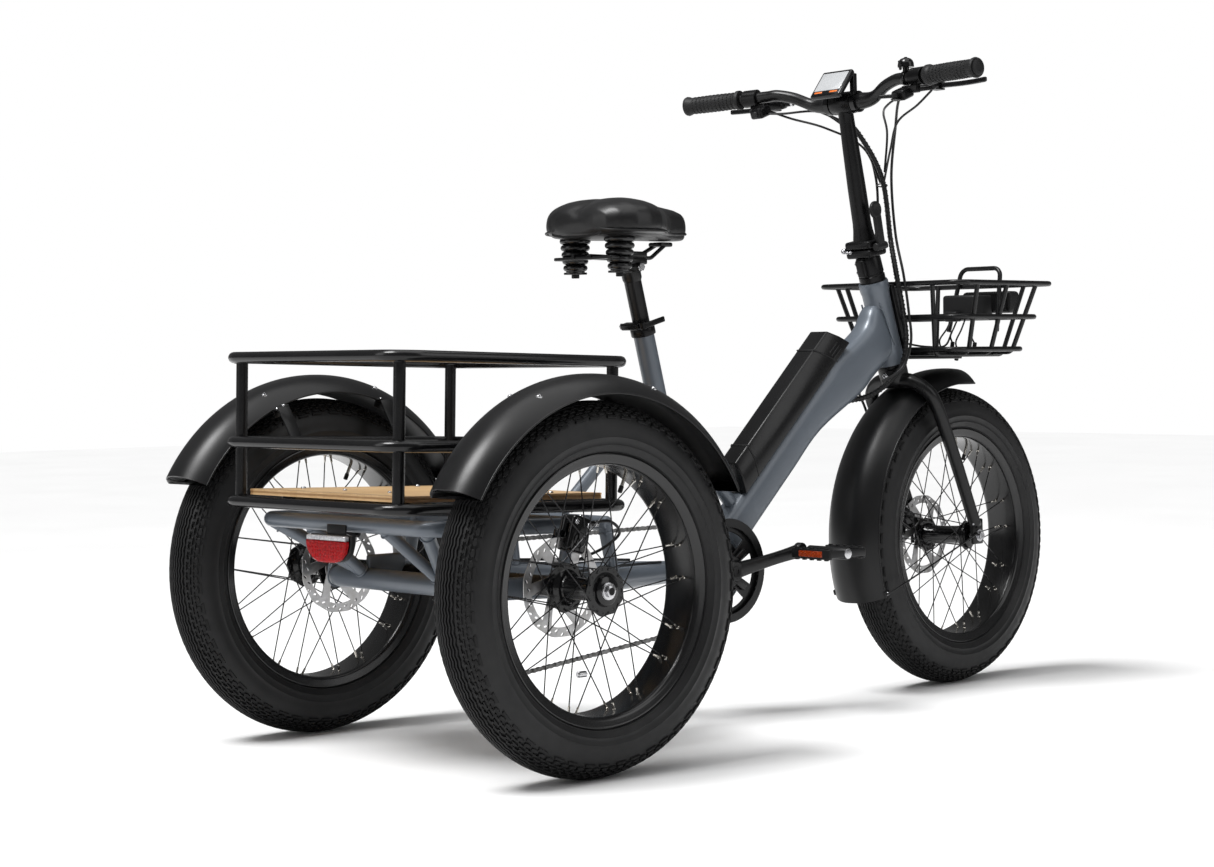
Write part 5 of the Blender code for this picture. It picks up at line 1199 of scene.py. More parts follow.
for sign, reach in ((-1, 0.0800), (1, 0.0780)):
    shaft.append(lathe([(0.0059, 0), (0.0115, 0), (0.0120, 0.0006), (0.0120, 0.0018), (0.0059, 0.0020)],
                       28, FRONT_AXLE + X * sign * (reach - 0.0020), X * sign))
    shaft.append(hex_nut(FRONT_AXLE + X * sign * reach, X * sign, 0.0088, 0.0060))
piece(joined(shaft), "front_axle", "steering", SILVER, matrix=STEERED)


def caliper_shape(angle, x, outward):
    """A two-part caliper: bodies, piston caps, adjuster, mount and the hose's union."""
    place = (Matrix.Translation((x, 0, 0)) @ Matrix.Rotation(math.radians(angle - 90), 4, "X")
             @ Matrix.Translation((0, 0, 0.087)))
    body = [block((0.0140, 0.038, 0.058), (0.0098, 0, -0.001), edge=0.006, segments=4),
            block((0.0140, 0.038, 0.058), (-0.0098, 0, -0.001), edge=0.006, segments=4),
            block((0.030, 0.034, 0.016), (0, 0, 0.020), edge=0.005),
            lathe([(0, 0), (0.0125, 0), (0.0125, 0.0022), (0.0110, 0.0034), (0, 0.0034)], 28,
                  (outward * 0.0155, 0, -0.010), X * outward, ring=False),
            lathe([(0, 0), (0.0125, 0), (0.0125, 0.0022), (0.0110, 0.0034), (0, 0.0034)], 28,
                  (-outward * 0.0155, 0, -0.010), X * -outward, ring=False),
            rod((outward * 0.004, -0.014, 0.020), (outward * 0.004, -0.036, 0.026), 0.0045, 16),
            block((0.010, 0.020, 0.020), (-outward * 0.006, 0.024, -0.010), edge=0.003)]
    trim = [dome_bolt((outward * 0.0080, 0.0, 0.0285), Z, 0.0042),
            dome_bolt((outward * 0.0172, 0.013, 0.017), X * outward, 0.0036),
            dome_bolt((outward * 0.0172, -0.013, 0.017), X * outward, 0.0036),
            hex_nut((outward * 0.004, -0.034, 0.0255), (0, -1, 0.27), 0.0056, 0.006)]
    return joined(body).moved(place), joined(trim).moved(place)


for name, body, matrix, angle, x, outward in (
        ("front", "steering", STEERED @ Matrix.Translation(FRONT_AXLE), 28, 0.0590, 1),
        ("rear_left", "frame", BIKE @ Matrix.Translation((0, 0, WHEEL_RADIUS)), 108, 0.2945, 1),
        ("rear_right", "frame", BIKE @ Matrix.Translation((0, 0, WHEEL_RADIUS)), 108, -0.2945, -1)):
    case, trim = caliper_shape(angle, x, outward)
    piece(case, f"{name}_caliper_body", body, GLOSS, f"{name}_brake_caliper", matrix)
    piece(trim, f"{name}_caliper_bolts", body, SILVER, matrix=matrix)

# hose loops from the rear calipers to the frame
for side, sign in SIDES:
    x = sign * 0.290
    start = Vector((x, -0.062, WHEEL_RADIUS + 0.096))
    points = [start + Vector((0, 0.020, -0.004)), start, start + Vector((0, -0.045, 0.002)),
              start + Vector((-sign * 0.020, -0.085, -0.020)),
              start + Vector((-sign * 0.055, -0.080, -0.046)),
              start + Vector((-sign * 0.085, -0.050, -0.066)), (sign * 0.204, -0.085, 0.3060),
              (sign * 0.172, -0.150, 0.3030), (sign * 0.110, -0.290, 0.2990),
              (sign * 0.040, -0.455, 0.2920)]
    piece(sweep(smooth(points, 8), 0.0025, 10), f"rear_{side}_caliper_hose", "frame", CABLE)

# folding stem
tilted = Matrix.Rotation(-math.atan2(STEM_UP.y, STEM_UP.z), 4, "X")
base = [lathe([(0, 0.0006), (0.0248, 0.0006), (0.0255, 0.0014), (0.0255, 0.0110), (0.0240, 0.0125),
               (0.0240, 0.0150), (0.0252, 0.0165), (0.0245, 0.0440), (0.0225, 0.0500), (0, 0.0500)], 40,
              HEAD_TOP, STEER_UP, ring=False),
        block((0.060, 0.054, 0.0155), STEM_FOOT - STEM_UP * 0.0086, tilted, 0.005, 4),
        block((0.020, 0.012, 0.034), HEAD_TOP + STEER_UP * 0.024 + Y * 0.026, tilt(-18), 0.003)]
piece(joined(base), "stem_collar", "steering", ANODISED, "stem_base", STEERED)
pinch = [dome_bolt(HEAD_TOP + STEER_UP * h + Vector((0.0102, 0.0275, 0)), X,
                   0.0036) for h in (0.016, 0.033)]
pinch += [dome_bolt(STEM_FOOT - STEM_UP * 0.0086 + Vector((x, 0.0272, 0.0)), Y,
                    0.0030) for x in (0.018, 0.026)]
piece(joined(pinch), "stem_pinch_bolts", "steering", SILVER, matrix=STEERED)

column = [(0.0, 0.012), (0.0220, 0.012), (0.0215, 0.020), (0.0190, 0.036), (0.0180, 0.050), (0.0176, 0.120),
          (0.0160, 0.200), (0.0148, 0.240), (0.0146, 0.262), (0.0160, 0.270), (0.0, 0.270)]
clamp = [(0.0162, -0.0240), (0.0200, -0.0240), (0.0212, -0.0225), (0.0215, 0.0), (0.0212, 0.0225),
         (0.0200, 0.0240), (0.0162, 0.0240)]
upper = [block((0.060, 0.054, 0.0155), STEM_FOOT + STEM_UP * 0.0086, tilted, 0.005, 4),
         lathe(column, 40, STEM_FOOT, STEM_UP, ring=False), lathe(clamp, 40, STEM_TOP),
         block((0.040, 0.012, 0.016), STEM_TOP + Vector((0, -0.0215, -0.004)), tilt(14), 0.003)]
piece(joined(upper), "stem_column", "stem", ANODISED, "folding_stem", STEERED)
stem_forward = Vector((0, -STEM_UP.z, STEM_UP.y))
hinge = [rod(STEM_FOOT + X * 0.033 - stem_forward * 0.0285, STEM_FOOT + X * 0.033 + stem_forward * 0.0285,
             0.0052, 20)]
hinge += [dome_bolt(STEM_TOP + Vector((x, -0.0278, -0.0055)), -Y + Z * 0.2,
                    0.0034) for x in (-0.014, 0.014)]
hinge += [dome_bolt(STEM_FOOT + X * 0.033 - stem_forward * 0.0290, -stem_forward, 0.0042)]
piece(joined(hinge), "stem_hinge_pin", "stem", SILVER, matrix=STEERED)

pivot = STEM_FOOT + Vector((-0.0390, 0.004, 0.002))
paddle = pivot + STEM_UP * 0.070
lever = [rod(pivot - stem_forward * 0.016, pivot + stem_forward * 0.016, 0.0075, 28, 0.001),
         block((0.0095, 0.0200, 0.062), pivot + STEM_UP * 0.031 + X * -0.0015, tilted, 0.0036, 4),
         lathe([(0, 0), (0.0140, 0), (0.0165, 0.0015), (0.0168, 0.0038), (0.0160, 0.0062), (0.0120, 0.0072),
                (0.0090, 0.0062), (0, 0.0060)], 36, paddle + Vector((0.0005, 0.004, 0)), -X, ring=False)]
piece(joined(lever), "fold_lever_arm", "fold_lever", PLASTIC, "stem_fold_lever", STEERED)

BAR_BEND, BAR_END = Vector((0.143, -0.9650, 1.1640)), Vector((0.350, -0.932, 1.1615))


def bar_at(x):
    """A point on the straight outer stretch of the bar, and the outward direction there."""
    sign = 1 if x > 0 else -1
    inner = Vector((BAR_BEND.x * sign, *BAR_BEND.yz))
    outer = Vector((BAR_END.x * sign, *BAR_END.yz))
    direction = (outer - inner).normalized()
    return inner + direction * (abs(x) - abs(inner.x)) / abs(direction.x), direction


inner, outer = Vector((-0.143, *BAR_BEND.yz)), Vector((-0.350, *BAR_END.yz))
half_bar = smooth([Vector((-0.010, *STEM_TOP.yz)), Vector((-0.038, *STEM_TOP.yz)),
                   (-0.072, -0.9870, 1.1395),
                   (-0.110, -0.9740, 1.1560), inner, inner.lerp(outer, 0.10)], 8) + [outer]
bar_line = half_bar[::-1] + [Vector((-p.x, p.y, p.z)) for p in half_bar]
bar_radii = [0.0111 + 0.0048 * max(0.0, min(1.0, (0.085 - abs(p.x)) / 0.040)) for p in bar_line]
piece(sweep(bar_line, bar_radii, 28), "handlebar_tube", "stem", SATIN, "handlebar", STEERED)

for side, sign in SIDES:
    middle, along = bar_at(sign * 0.2870)
    place = Matrix.Translation(middle) @ facing(along)
    profile = [(0.0112, -0.0625), (0.0185, -0.0625), (0.0190, -0.0615), (0.0190, -0.0560),
               (0.0168, -0.0540),
               (0.0155, -0.0500), (0.0160, -0.0200), (0.0166, 0.0050), (0.0158, 0.0350), (0.0162, 0.0500),
               (0.0182, 0.0550), (0.0190, 0.0590), (0.0178, 0.0625), (0.0112, 0.0625)]
    grip = [lathe(profile, 48, middle, along)]
    for row in range(11):
        for k in range(20):
            a = 2 * math.pi * (k + 0.5 * (row % 2)) / 20
            h = -0.046 + 0.0088 * row
            radius = 0.0158 + 0.0006 * math.sin(math.pi * (h + 0.05) / 0.10)
            turn = place @ Matrix.Rotation(a, 4, "Z") @ Matrix.Translation((radius, 0, h)) \
                @ Matrix.Rotation(math.radians(45), 4, "X")
            grip.append(block((0.0016, 0.0034, 0.0034), turn=turn, edge=0.0004, segments=1))
    piece(joined(grip), f"grip_rubber_{side}", "stem", KNURL, f"grip_{side}", STEERED)
    end, _ = bar_at(sign * 0.3500)
    piece(lathe([(0, 0.0), (0.0140, 0.0), (0.0150, 0.0010), (0.0120, 0.0024), (0.0060, 0.0030),
                 (0, 0.0028)],
                32, end - along * 0.0005, along, ring=False), f"grip_plug_{side}", "stem", PLASTIC,
          matrix=STEERED)

    perch, along = bar_at(sign * 0.2010)
    rake = tilt(-14)
    master = [lathe([(0.0113, -0.0150), (0.0162, -0.0150), (0.0170, -0.0140), (0.0170, 0.0140),
                     (0.0162, 0.0150), (0.0113, 0.0150)], 32, perch, along),
              block((0.026, 0.036, 0.0175), perch + Vector((0, -0.030, -0.006)), rake, 0.005, 4),
              block((0.054, 0.0210, 0.0180), perch + Vector((-sign * 0.020, -0.046, -0.012)), rake, 0.006,
                    4),
              rod(perch + Vector((-sign * 0.044, -0.046, -0.0125)),
                  perch + Vector((-sign * 0.060, -0.048, -0.0125)),
                  0.0048, 20),
              block((0.036, 0.0125, 0.0145), perch + Vector((-sign * 0.018, 0, -0.0220)), edge=0.002),
              block((0.0300, 0.0340, 0.0200), perch + Vector((-sign * 0.030, 0.010, -0.030)), tilt(-20),
                    0.005, 4)]
    pin = perch + Vector((-sign * 0.004, -0.066, -0.012))
    master += [block((0.020, 0.026, 0.0034), pin + Vector((0, 0.0040, lift)), edge=0.0012)
               for lift in (-0.0068, 0.0068)]
    master += [block((0.020, 0.008, 0.0160), pin + Vector((0, 0.0130, 0)), edge=0.002)]
    if sign < 0:
        master.append(block((0.012, 0.024, 0.003), perch + Vector((0.030, 0.028, -0.0416)), edge=0.001))
    piece(joined(master), f"brake_master_body_{side}", "stem", ANODISED,
          f"brake_master_{side}", STEERED)
    trim = [dome_bolt(perch + Vector((dx, -0.0490, -0.0025)), Z, 0.0026) for dx in
            (-sign * 0.002, -sign * 0.038)]
    trim += [rod(pin - Z * 0.0084, pin + Z * 0.0088, 0.0028, 16),
             dome_bolt(perch + Vector((0, -0.0150, 0.0060)), Vector((0, -1, 0.3)), 0.0030),
             hex_nut(perch + Vector((-sign * 0.060, -0.048, -0.0125)), X * -sign, 0.0056, 0.005)]
    piece(joined(trim), f"brake_master_screws_{side}", "stem", SILVER, matrix=STEERED)

    outline = [(-0.010, -0.0070), (0.0, -0.0088), (0.012, -0.0100), (0.030, -0.0138), (0.045, -0.0152),
               (0.065, -0.0135), (0.085, -0.0098), (0.100, -0.0052), (0.108, -0.0020), (0.1115, 0.0020),
               (0.1105, 0.0056), (0.1050, 0.0062), (0.096, 0.0030), (0.082, -0.0012), (0.065, -0.0042),
               (0.045, -0.0048), (0.030, -0.0020), (0.012, 0.0032), (0.0, 0.0050), (-0.010, 0.0050)]
    blade = plate([(sign * x, y) for x, y in outline][::sign], 0.0090, Matrix.Translation(pin), (), 0.0016)
    piece(blade, f"brake_lever_blade_{side}", f"brake_lever_{side}_body", SATIN,
          f"brake_lever_{side}", STEERED)
    pod = perch + Vector((-sign * 0.030, 0.010, -0.030))
    out = Matrix.Rotation(math.radians(-20), 4, "X") @ Vector((0, 1, 0))
    if sign > 0:
        face = pod + out * 0.0150
        piece(lathe([(0, 0), (0.0062, 0), (0.0062, 0.0040), (0.0054, 0.0052), (0, 0.0056)], 28,
                    face + out * 0.0003, out, ring=False), "assist_button_cap", "button", RUBBER,
              "assist_button", STEERED)
        keys = [block((0.007, 0.003, 0.005), pod + Vector((dx, 0.0170, 0.004)), tilt(-20), 0.001)
                for dx in (-0.0100, 0.0100)]
        piece(joined(keys), "switch_keys", "stem", RUBBER, matrix=STEERED)
    else:
        pivot = pod + Vector((0, 0.026, -0.006))
        lever = [block((0.034, 0.0085, 0.0068), pivot + Vector((0.010, 0.006, 0)), tilt(28, "Z"), 0.0028,
                       4),
                 rod(pivot - Z * 0.0034, pivot + Z * 0.0040, 0.0058, 20)]
        piece(joined(lever), "gear_trigger_paddle", "trigger", PLASTIC, "gear_trigger",
              STEERED)

# display
screen_place = Matrix.Translation(STEM_TOP + Vector((0, 0.0350, 0.0325))) @ tilt(-48.8)
body = [block((0.072, 0.069, 0.0115), edge=0.0045, segments=4).moved(screen_place)]
body += [block((0.010, 0.012, 0.044), STEM_TOP + Vector((s * 0.0315, 0.0110, 0.0310)), edge=0.002)
         for s in (-1, 1)]
body += [lathe([(0.0162, -0.005), (0.0205, -0.005), (0.0205, 0.005), (0.0162, 0.005)], 32,
               STEM_TOP + X * s * 0.0315) for s in (-1, 1)]
piece(joined(body), "display_case", "stem", GLOSS, "display", STEERED)
piece(block((0.061, 0.048, 0.0020), (0, -0.0030, 0.0055), edge=0.0009).moved(screen_place),
      "display_screen",
      "stem", SCREEN, matrix=STEERED)
piece(block((0.018, 0.0042, 0.0016), (0.018, 0.0255, 0.0057), edge=0.0006).moved(screen_place)
      + block((0.018, 0.0042, 0.0016), (-0.018, 0.0255, 0.0057), edge=0.0006).moved(screen_place),
      "display_band", "stem", ORANGE, matrix=STEERED)

# bell
point, along = bar_at(-0.169)
top = point + Z * 0.0130
bell = [lathe([(0.0113, -0.005), (0.0132, -0.005), (0.0137, -0.0042), (0.0137, 0.0042), (0.0132, 0.005),
               (0.0113, 0.005)], 32, point, along),
        rod(top - Z * 0.003, top + Z * 0.0085, 0.0062, 20),
        lathe([(0, 0.0180), (0.0050, 0.0176), (0.0095, 0.0158), (0.0128, 0.0125), (0.0147, 0.0080),
               (0.0152, 0.0030), (0.0152, 0.0002), (0.0144, 0.0), (0.0, 0.0)], 40, top + Z * 0.007, Z,
              ring=False), rod(top + Z * 0.0245, top + Z * 0.0262, 0.0030, 16)]
piece(joined(bell), "bell_dome", "stem", GLOSS, "bell", STEERED)
pivot = top + Vector((0, 0.0185, 0.0095))
piece(block((0.0050, 0.0042, 0.0180), pivot, tilt(-12), 0.0016, 3) + rod(pivot - X * 0.004,
                                                                         pivot + X * 0.004,
      0.0022, 12), "bell_thumb_lever", "striker", PLASTIC, "bell_striker", STEERED)


# Seat

seat_lathe = [(0, -0.0035), (0.0215, -0.0035), (0.0222, -0.0025), (0.0222, 0.0110), (0.0210, 0.0130),
              (0.0165, 0.0132), (0, 0.0132)]
ear = SEAT_CLAMP + Vector((0, 0.027, 0.012))
collar = [lathe(seat_lathe, 36, SEAT_CLAMP, SEAT_UP, ring=False),
          block((0.044, 0.0175, 0.0120), ear, tilt(-15), 0.003)]
piece(joined(collar), "seat_collar", "frame", ANODISED, "seat_clamp_collar")
piece(rod(ear - X * 0.0245, ear + X * 0.0270, 0.0030, 16) + hex_nut(ear + X * 0.0225, X, 0.0062, 0.005),
      "seat_collar_bolt", "frame", SILVER)
pivot = SEAT_CLAMP + Vector((-0.0290, 0.028, 0.0125))
lever = [rod(pivot - SEAT_UP * 0.006, pivot + SEAT_UP * 0.006, 0.0058, 24),
         block((0.0048, 0.050, 0.0100), pivot + Vector((-0.0040, -0.0240, 0.0062)), tilt(-15), 0.0020, 4)]
piece(joined(lever), "seat_release_lever", "clamp_lever", ANODISED, "seat_clamp_lever")

post_top = SEAT_CLAMP + SEAT_UP * 0.125
post = [rod(SEAT_CLAMP - SEAT_UP * 0.168, post_top, 0.0154, 36)]
post.append(lathe([(0.0, 0.095), (0.0156, 0.095), (0.0175, 0.100), (0.0175, 0.128), (0.0150, 0.134),
                   (0.0, 0.134)],
                  32, SEAT_CLAMP, SEAT_UP, ring=False))
clamp_at = Vector((0, post_top.y + 0.002, 0.8290))
post += [block((0.058, 0.040, 0.0105), clamp_at + Z * 0.0060, edge=0.003),
         block((0.058, 0.040, 0.0105), clamp_at - Z * 0.0062, edge=0.003),
         rod(clamp_at + Vector((0.030, 0, -0.016)), clamp_at + Vector((-0.030, 0, -0.016)), 0.0085, 20)]
rails = []
for _, sign in SIDES:
    x = sign * 0.0220
    route = rounded([(x, -0.310, 0.8300), (x, -0.375, 0.8290), (x, -0.455, 0.8290),
                     (sign * 0.012, -0.500, 0.8540)], 0.02, 6)
    rails.append(sweep(route, 0.0036, 14))
post += [*rails, block((0.150, 0.020, 0.006), (0, -0.322, 0.8270), edge=0.002),
         block((0.034, 0.030, 0.008), (0, -0.500, 0.8545), edge=0.003)]
piece(joined(post), "seat_post_and_rails", "seat", SATIN, "seat_post")
piece(joined([hex_nut(clamp_at + Vector((s * 0.030, 0, -0.016)), X * s, 0.0075, 0.006) for s in (-1, 1)]),
      "seat_clamp_nuts", "seat", SILVER)

for side, sign in SIDES:
    foot = Vector((sign * 0.0580, -0.3480, 0.8020))
    profile = [(0.0, 0.0), (0.0150, 0.0), (0.0165, 0.0020)]
    for k in range(5):
        for step in range(7):
            turn = math.pi * step / 6
            profile.append((0.0165 + 0.0015 * k + 0.0050 * math.sin(turn),
                            0.0100 + 0.0118 * k - 0.0056 * math.cos(turn)))
    profile += [(0.0225, 0.0650), (0.0225, 0.0670), (0.0, 0.0670)]
    spring = piece(lathe(profile, 36, foot, Z, ring=False), f"saddle_spring_{side}", "seat", BELLOWS,
                   sharp=60)
    world = BIKE @ (foot + Z * 0.004)
    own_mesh(spring)
    piece(rod(foot + Vector((0, 0, -0.008)), foot + Z * 0.002, 0.0070, 20)
                + block((0.030, 0.030, 0.004), foot + Z * 0.0005, edge=0.0015), f"spring_seat_{side}",
          "seat",
                SATIN)


def saddle_row(y, half, dome, low, dip):
    """One section of the pad from the skirt on one side, over the top, to the other."""
    ring = []
    for k in range(28):
        a = 2 * math.pi * k / 28
        c, s = math.cos(a), math.sin(a)
        x = half * math.copysign(abs(c) ** 0.72, c)
        if s >= 0:
            z = low + 0.016 + (dome - low - 0.016) * abs(s) ** 0.62
            z -= dip * math.exp(-(x / (0.22 * half + 0.006)) ** 2)
        else:
            z = low + 0.016 - 0.016 * abs(s) ** 0.8
        ring.append(Vector((x, y, z)))
    return ring


PAD_ROWS = [(-0.2945, 0.050, 0.9050, 0.8695, 0.001), (-0.3000, 0.078, 0.9150, 0.8645, 0.003),
            (-0.3150, 0.100, 0.9240, 0.8625, 0.005), (-0.3400, 0.1155, 0.9300, 0.8620, 0.006),
            (-0.3700, 0.1190, 0.9310, 0.8620, 0.006), (-0.4000, 0.1120, 0.9285, 0.8625, 0.005),
            (-0.4300, 0.0920, 0.9250, 0.8630, 0.004), (-0.4600, 0.0600, 0.9215, 0.8630, 0.002),
            (-0.4900, 0.0385, 0.9190, 0.8625, 0.001), (-0.5200, 0.0290, 0.9170, 0.8625, 0.0),
            (-0.5400, 0.0240, 0.9120, 0.8635, 0.0), (-0.5500, 0.0150, 0.9020, 0.8685, 0.0)]


def puffed(shape, name, voxel=0.005, pressure=4.0, cap=0.006):
    """The pad's cover, swollen by a cloth simulation and held to a few millimetres."""
    mesh = bpy.data.meshes.new(name)
    mesh.from_pydata(shape.verts, [], shape.faces)
    obj = bpy.data.objects.new(name, mesh)
    bpy.context.scene.collection.objects.link(obj)
    remesh = obj.modifiers.new("remesh", "REMESH")
    remesh.mode = "VOXEL"
    remesh.voxel_size = voxel
    graph = bpy.context.evaluated_depsgraph_get()
    even = bpy.data.meshes.new_from_object(obj.evaluated_get(graph))
    obj.modifiers.clear()
    obj.data = even
    before = [v.co.copy() for v in even.vertices]
    lowest = min(v.z for v in before)
    pinned = obj.vertex_groups.new(name="pinned")
    for k, point in enumerate(before):
        if point.z < lowest + 0.008:
            pinned.add([k], 1.0, "REPLACE")
    cloth = obj.modifiers.new("cloth", "CLOTH")
    cloth.settings.quality = 5
    cloth.settings.use_pressure = True
    cloth.settings.uniform_pressure_force = pressure
    cloth.settings.effector_weights.gravity = 0
    cloth.settings.vertex_group_mass = "pinned"
    scene = bpy.context.scene
    for number in range(1, 21):
        scene.frame_set(number)
    graph = bpy.context.evaluated_depsgraph_get()
    after = [v.co.copy() for v in obj.evaluated_get(graph).data.vertices]
    obj.modifiers.clear()
    scene.frame_set(1)
    for vertex, old, new in zip(obj.data.vertices, before, after):
        step = new - old
        if step.length > cap:
            step = step.normalized() * cap
        vertex.co = old + step
    fair = obj.modifiers.new("fair", "SMOOTH")
    fair.factor, fair.iterations = 0.5, 6
    finer = obj.modifiers.new("finer", "SUBSURF")
    finer.levels = finer.render_levels = 1
    graph = bpy.context.evaluated_depsgraph_get()
    final = bpy.data.meshes.new_from_object(obj.evaluated_get(graph))
    made = Shape([v.co for v in final.vertices], [tuple(p.vertices) for p in final.polygons])
    bpy.data.objects.remove(obj, do_unlink=True)
    return made


pad = grid([saddle_row(*row) for row in PAD_ROWS], caps=True)
pad = puffed(pad, "saddle_form")
pad_piece = piece(pad, "saddle_pad", "saddle_top", LEATHER, "saddle", sharp=80)
edge_points = []
for y, half, dome, low, dip in PAD_ROWS[1:-1]:
    edge_points.append(Vector((half * 0.972, y, low + 0.0095)))
edge_points = edge_points + [Vector((0, -0.5490, 0.8780))] + \
    [Vector((-p.x, p.y, p.z)) for p in edge_points[::-1]] + [Vector((-0.040, -0.2985, 0.8780)),
                                                           Vector((0.040, -0.2985, 0.8780))]
seam_line = smooth(edge_points, 6, closed=True)
piece(sweep(seam_line, 0.0020, 8, closed=True), "saddle_piping", "saddle_top", RUBBER)
tray = []
for y, half, dome, low, dip in PAD_ROWS[1:-1]:
    tray.append([Vector((half * 0.84 * math.copysign(abs(math.cos(a)) ** 0.6, math.cos(a)), y,
                         low + 0.006 + 0.008 * math.sin(a)))
                 for a in (2 * math.pi * k / 20 for k in range(20))])
piece(grid(tray, caps=True), "saddle_tray", "saddle_top", PLASTIC)


# Battery

CASE_START = 0.0985                     # how far up the down tube the battery begins


def battery_rows(low, high, section_of, base=CASE_START):
    rows = []
    for s, height_lean in ((low, 0.45), (high, -0.45)):
        rows.append([down_tube(base + s + height_lean * h, TUBE_HEIGHT + 0.0004 + h) + X * x
                     for x, h in section_of])
    return rows


CASE = [(-0.0300, 0.0), (0.0300, 0.0), (0.0310, 0.030), (0.0215, 0.055), (-0.0215, 0.055), (-0.0310, 0.030)]
LENGTH = 0.396
case = bevelled(grid(battery_rows(0.0, LENGTH, CASE), caps=True), 0.0032, 4)
piece(case, "battery_case", "battery_pack", BATTERY, "battery")


def slanted_band(s, width, end, lift=0.0006):
    """A raised line round the case, parallel to one of its sloping ends."""
    lean = 0.45 if end == 0 else -0.45
    rows = []
    for step, out in ((-width / 2, 0.0), (-width / 2, lift), (width / 2, lift), (width / 2, 0.0)):
        row = []
        for x, h in CASE:
            grow = 1 + out / 0.030
            row.append(down_tube(CASE_START + s + step + lean * h,
                                 TUBE_HEIGHT + 0.0004 + max(h, 0.0006) * grow)
                       + X * x * (1 + out / 0.030))
        rows.append(row)
    return bevelled(grid(rows, closed_rows=False, caps=True), 0.0004, 2)


ends_of_case = [slanted_band(0.046, 0.0030, 0), slanted_band(LENGTH - 0.052, 0.0030, 1)]
piece(joined(ends_of_case), "battery_seams", "battery_pack", PLASTIC)
details = []
for sign in (1, -1):
    for k in range(3):
        at = down_tube(CASE_START + 0.355, TUBE_HEIGHT + 0.012 + 0.008 * k) + X * sign * 0.0306
        details.append(block((0.0012, 0.030, 0.0026), at, tilt(-44.3), 0.0005, 2))
side_port = down_tube(CASE_START + 0.060, TUBE_HEIGHT + 0.020) + X * 0.0306
details.append(lathe([(0, 0), (0.0095, 0), (0.0095, 0.0016), (0.0075, 0.0024), (0, 0.0024)], 28,
                     side_port, X, ring=False))
piece(joined(details), "battery_details", "battery_pack", RUBBER)
lock = down_tube(CASE_START + 0.330, TUBE_HEIGHT + 0.024) + X * 0.0308
piece(lathe([(0, 0), (0.0070, 0), (0.0074, 0.0006), (0.0070, 0.0014), (0.0030, 0.0012), (0.0026, 0.0004),
             (0, 0.0004)], 28, lock, X, ring=False), "battery_lock", "battery_pack", SILVER)


# Drive

def toothed_radius(teeth):
    return teeth * CHAIN_PITCH / (2 * math.pi)


def tooth_outline(teeth, centre=(0.0, 0.0), phase=0.0):
    """Roller seats on the pitch circle with pointed teeth between them."""
    pitch = toothed_radius(teeth)
    points = []
    for k in range(teeth):
        for share, reach in ((-0.28, -0.0022), (-0.14, -0.0037), (0.0, -0.0042), (0.14, -0.0037),
                             (0.28, -0.0022),
                             (0.40, 0.0018), (0.47, 0.0036), (0.53, 0.0036), (0.60, 0.0018)):
            a = 2 * math.pi * (k + share) / teeth + phase
            points.append((centre[0] + (pitch + reach) * math.cos(a),
                           centre[1] + (pitch + reach) * math.sin(a)))
    return points


RING_TEETH, LOW_TEETH, JOCKEY_TEETH = 44, 28, 11
SPROCKET, GUIDE, TENSION = Vector((0, WHEEL_RADIUS)), Vector((0.006, 0.212)), Vector((-0.036, 0.138))
CHAIN_WHEELS = [(Vector((CRANK.y, CRANK.z)), toothed_radius(RING_TEETH), -1),
                (SPROCKET, toothed_radius(LOW_TEETH), -1), (GUIDE, toothed_radius(JOCKEY_TEETH), 1),
                (TENSION, toothed_radius(JOCKEY_TEETH), -1)]


def chain_route():
    """The chain's pitch line as points (y, z), close together."""
    leaving, arriving = [], []
    for k, (centre, radius, sense) in enumerate(CHAIN_WHEELS):
        other, other_radius, other_sense = CHAIN_WHEELS[(k + 1) % 4]
        across = other - centre
        lean = math.acos((sense * radius - other_sense * other_radius) / across.length)
        angle = math.atan2(across.y, across.x) - lean
        normal = Vector((math.cos(angle), math.sin(angle)))
        leaving.append(math.atan2(sense * normal.y, sense * normal.x))
        arriving.append(math.atan2(other_sense * normal.y, other_sense * normal.x))
    route = []
    for k, (centre, radius, sense) in enumerate(CHAIN_WHEELS):
        start, end = arriving[k - 1], leaving[k]
        swept = (end - start) * sense % (2 * math.pi)
        steps = max(6, round(swept / math.radians(4)))
        for step in range(steps + 1):
            angle = start + sense * swept * step / steps
            route.append(centre + Vector((math.cos(angle), math.sin(angle))) * radius)
    return route


def along_loop(route, count):
    """Evenly spaced points round a closed line."""
    lengths = [0.0]
    closed = route + [route[0]]
    for a, b in zip(closed, closed[1:]):
        lengths.append(lengths[-1] + (b - a).length)
    found, k = [], 0
    for n in range(count):
        want = lengths[-1] * n / count
        while lengths[k + 1] < want:
            k += 1
        share = (want - lengths[k]) / max(1e-9, lengths[k + 1] - lengths[k])
        found.append(closed[k].lerp(closed[k + 1], share))
    return found, lengths[-1]


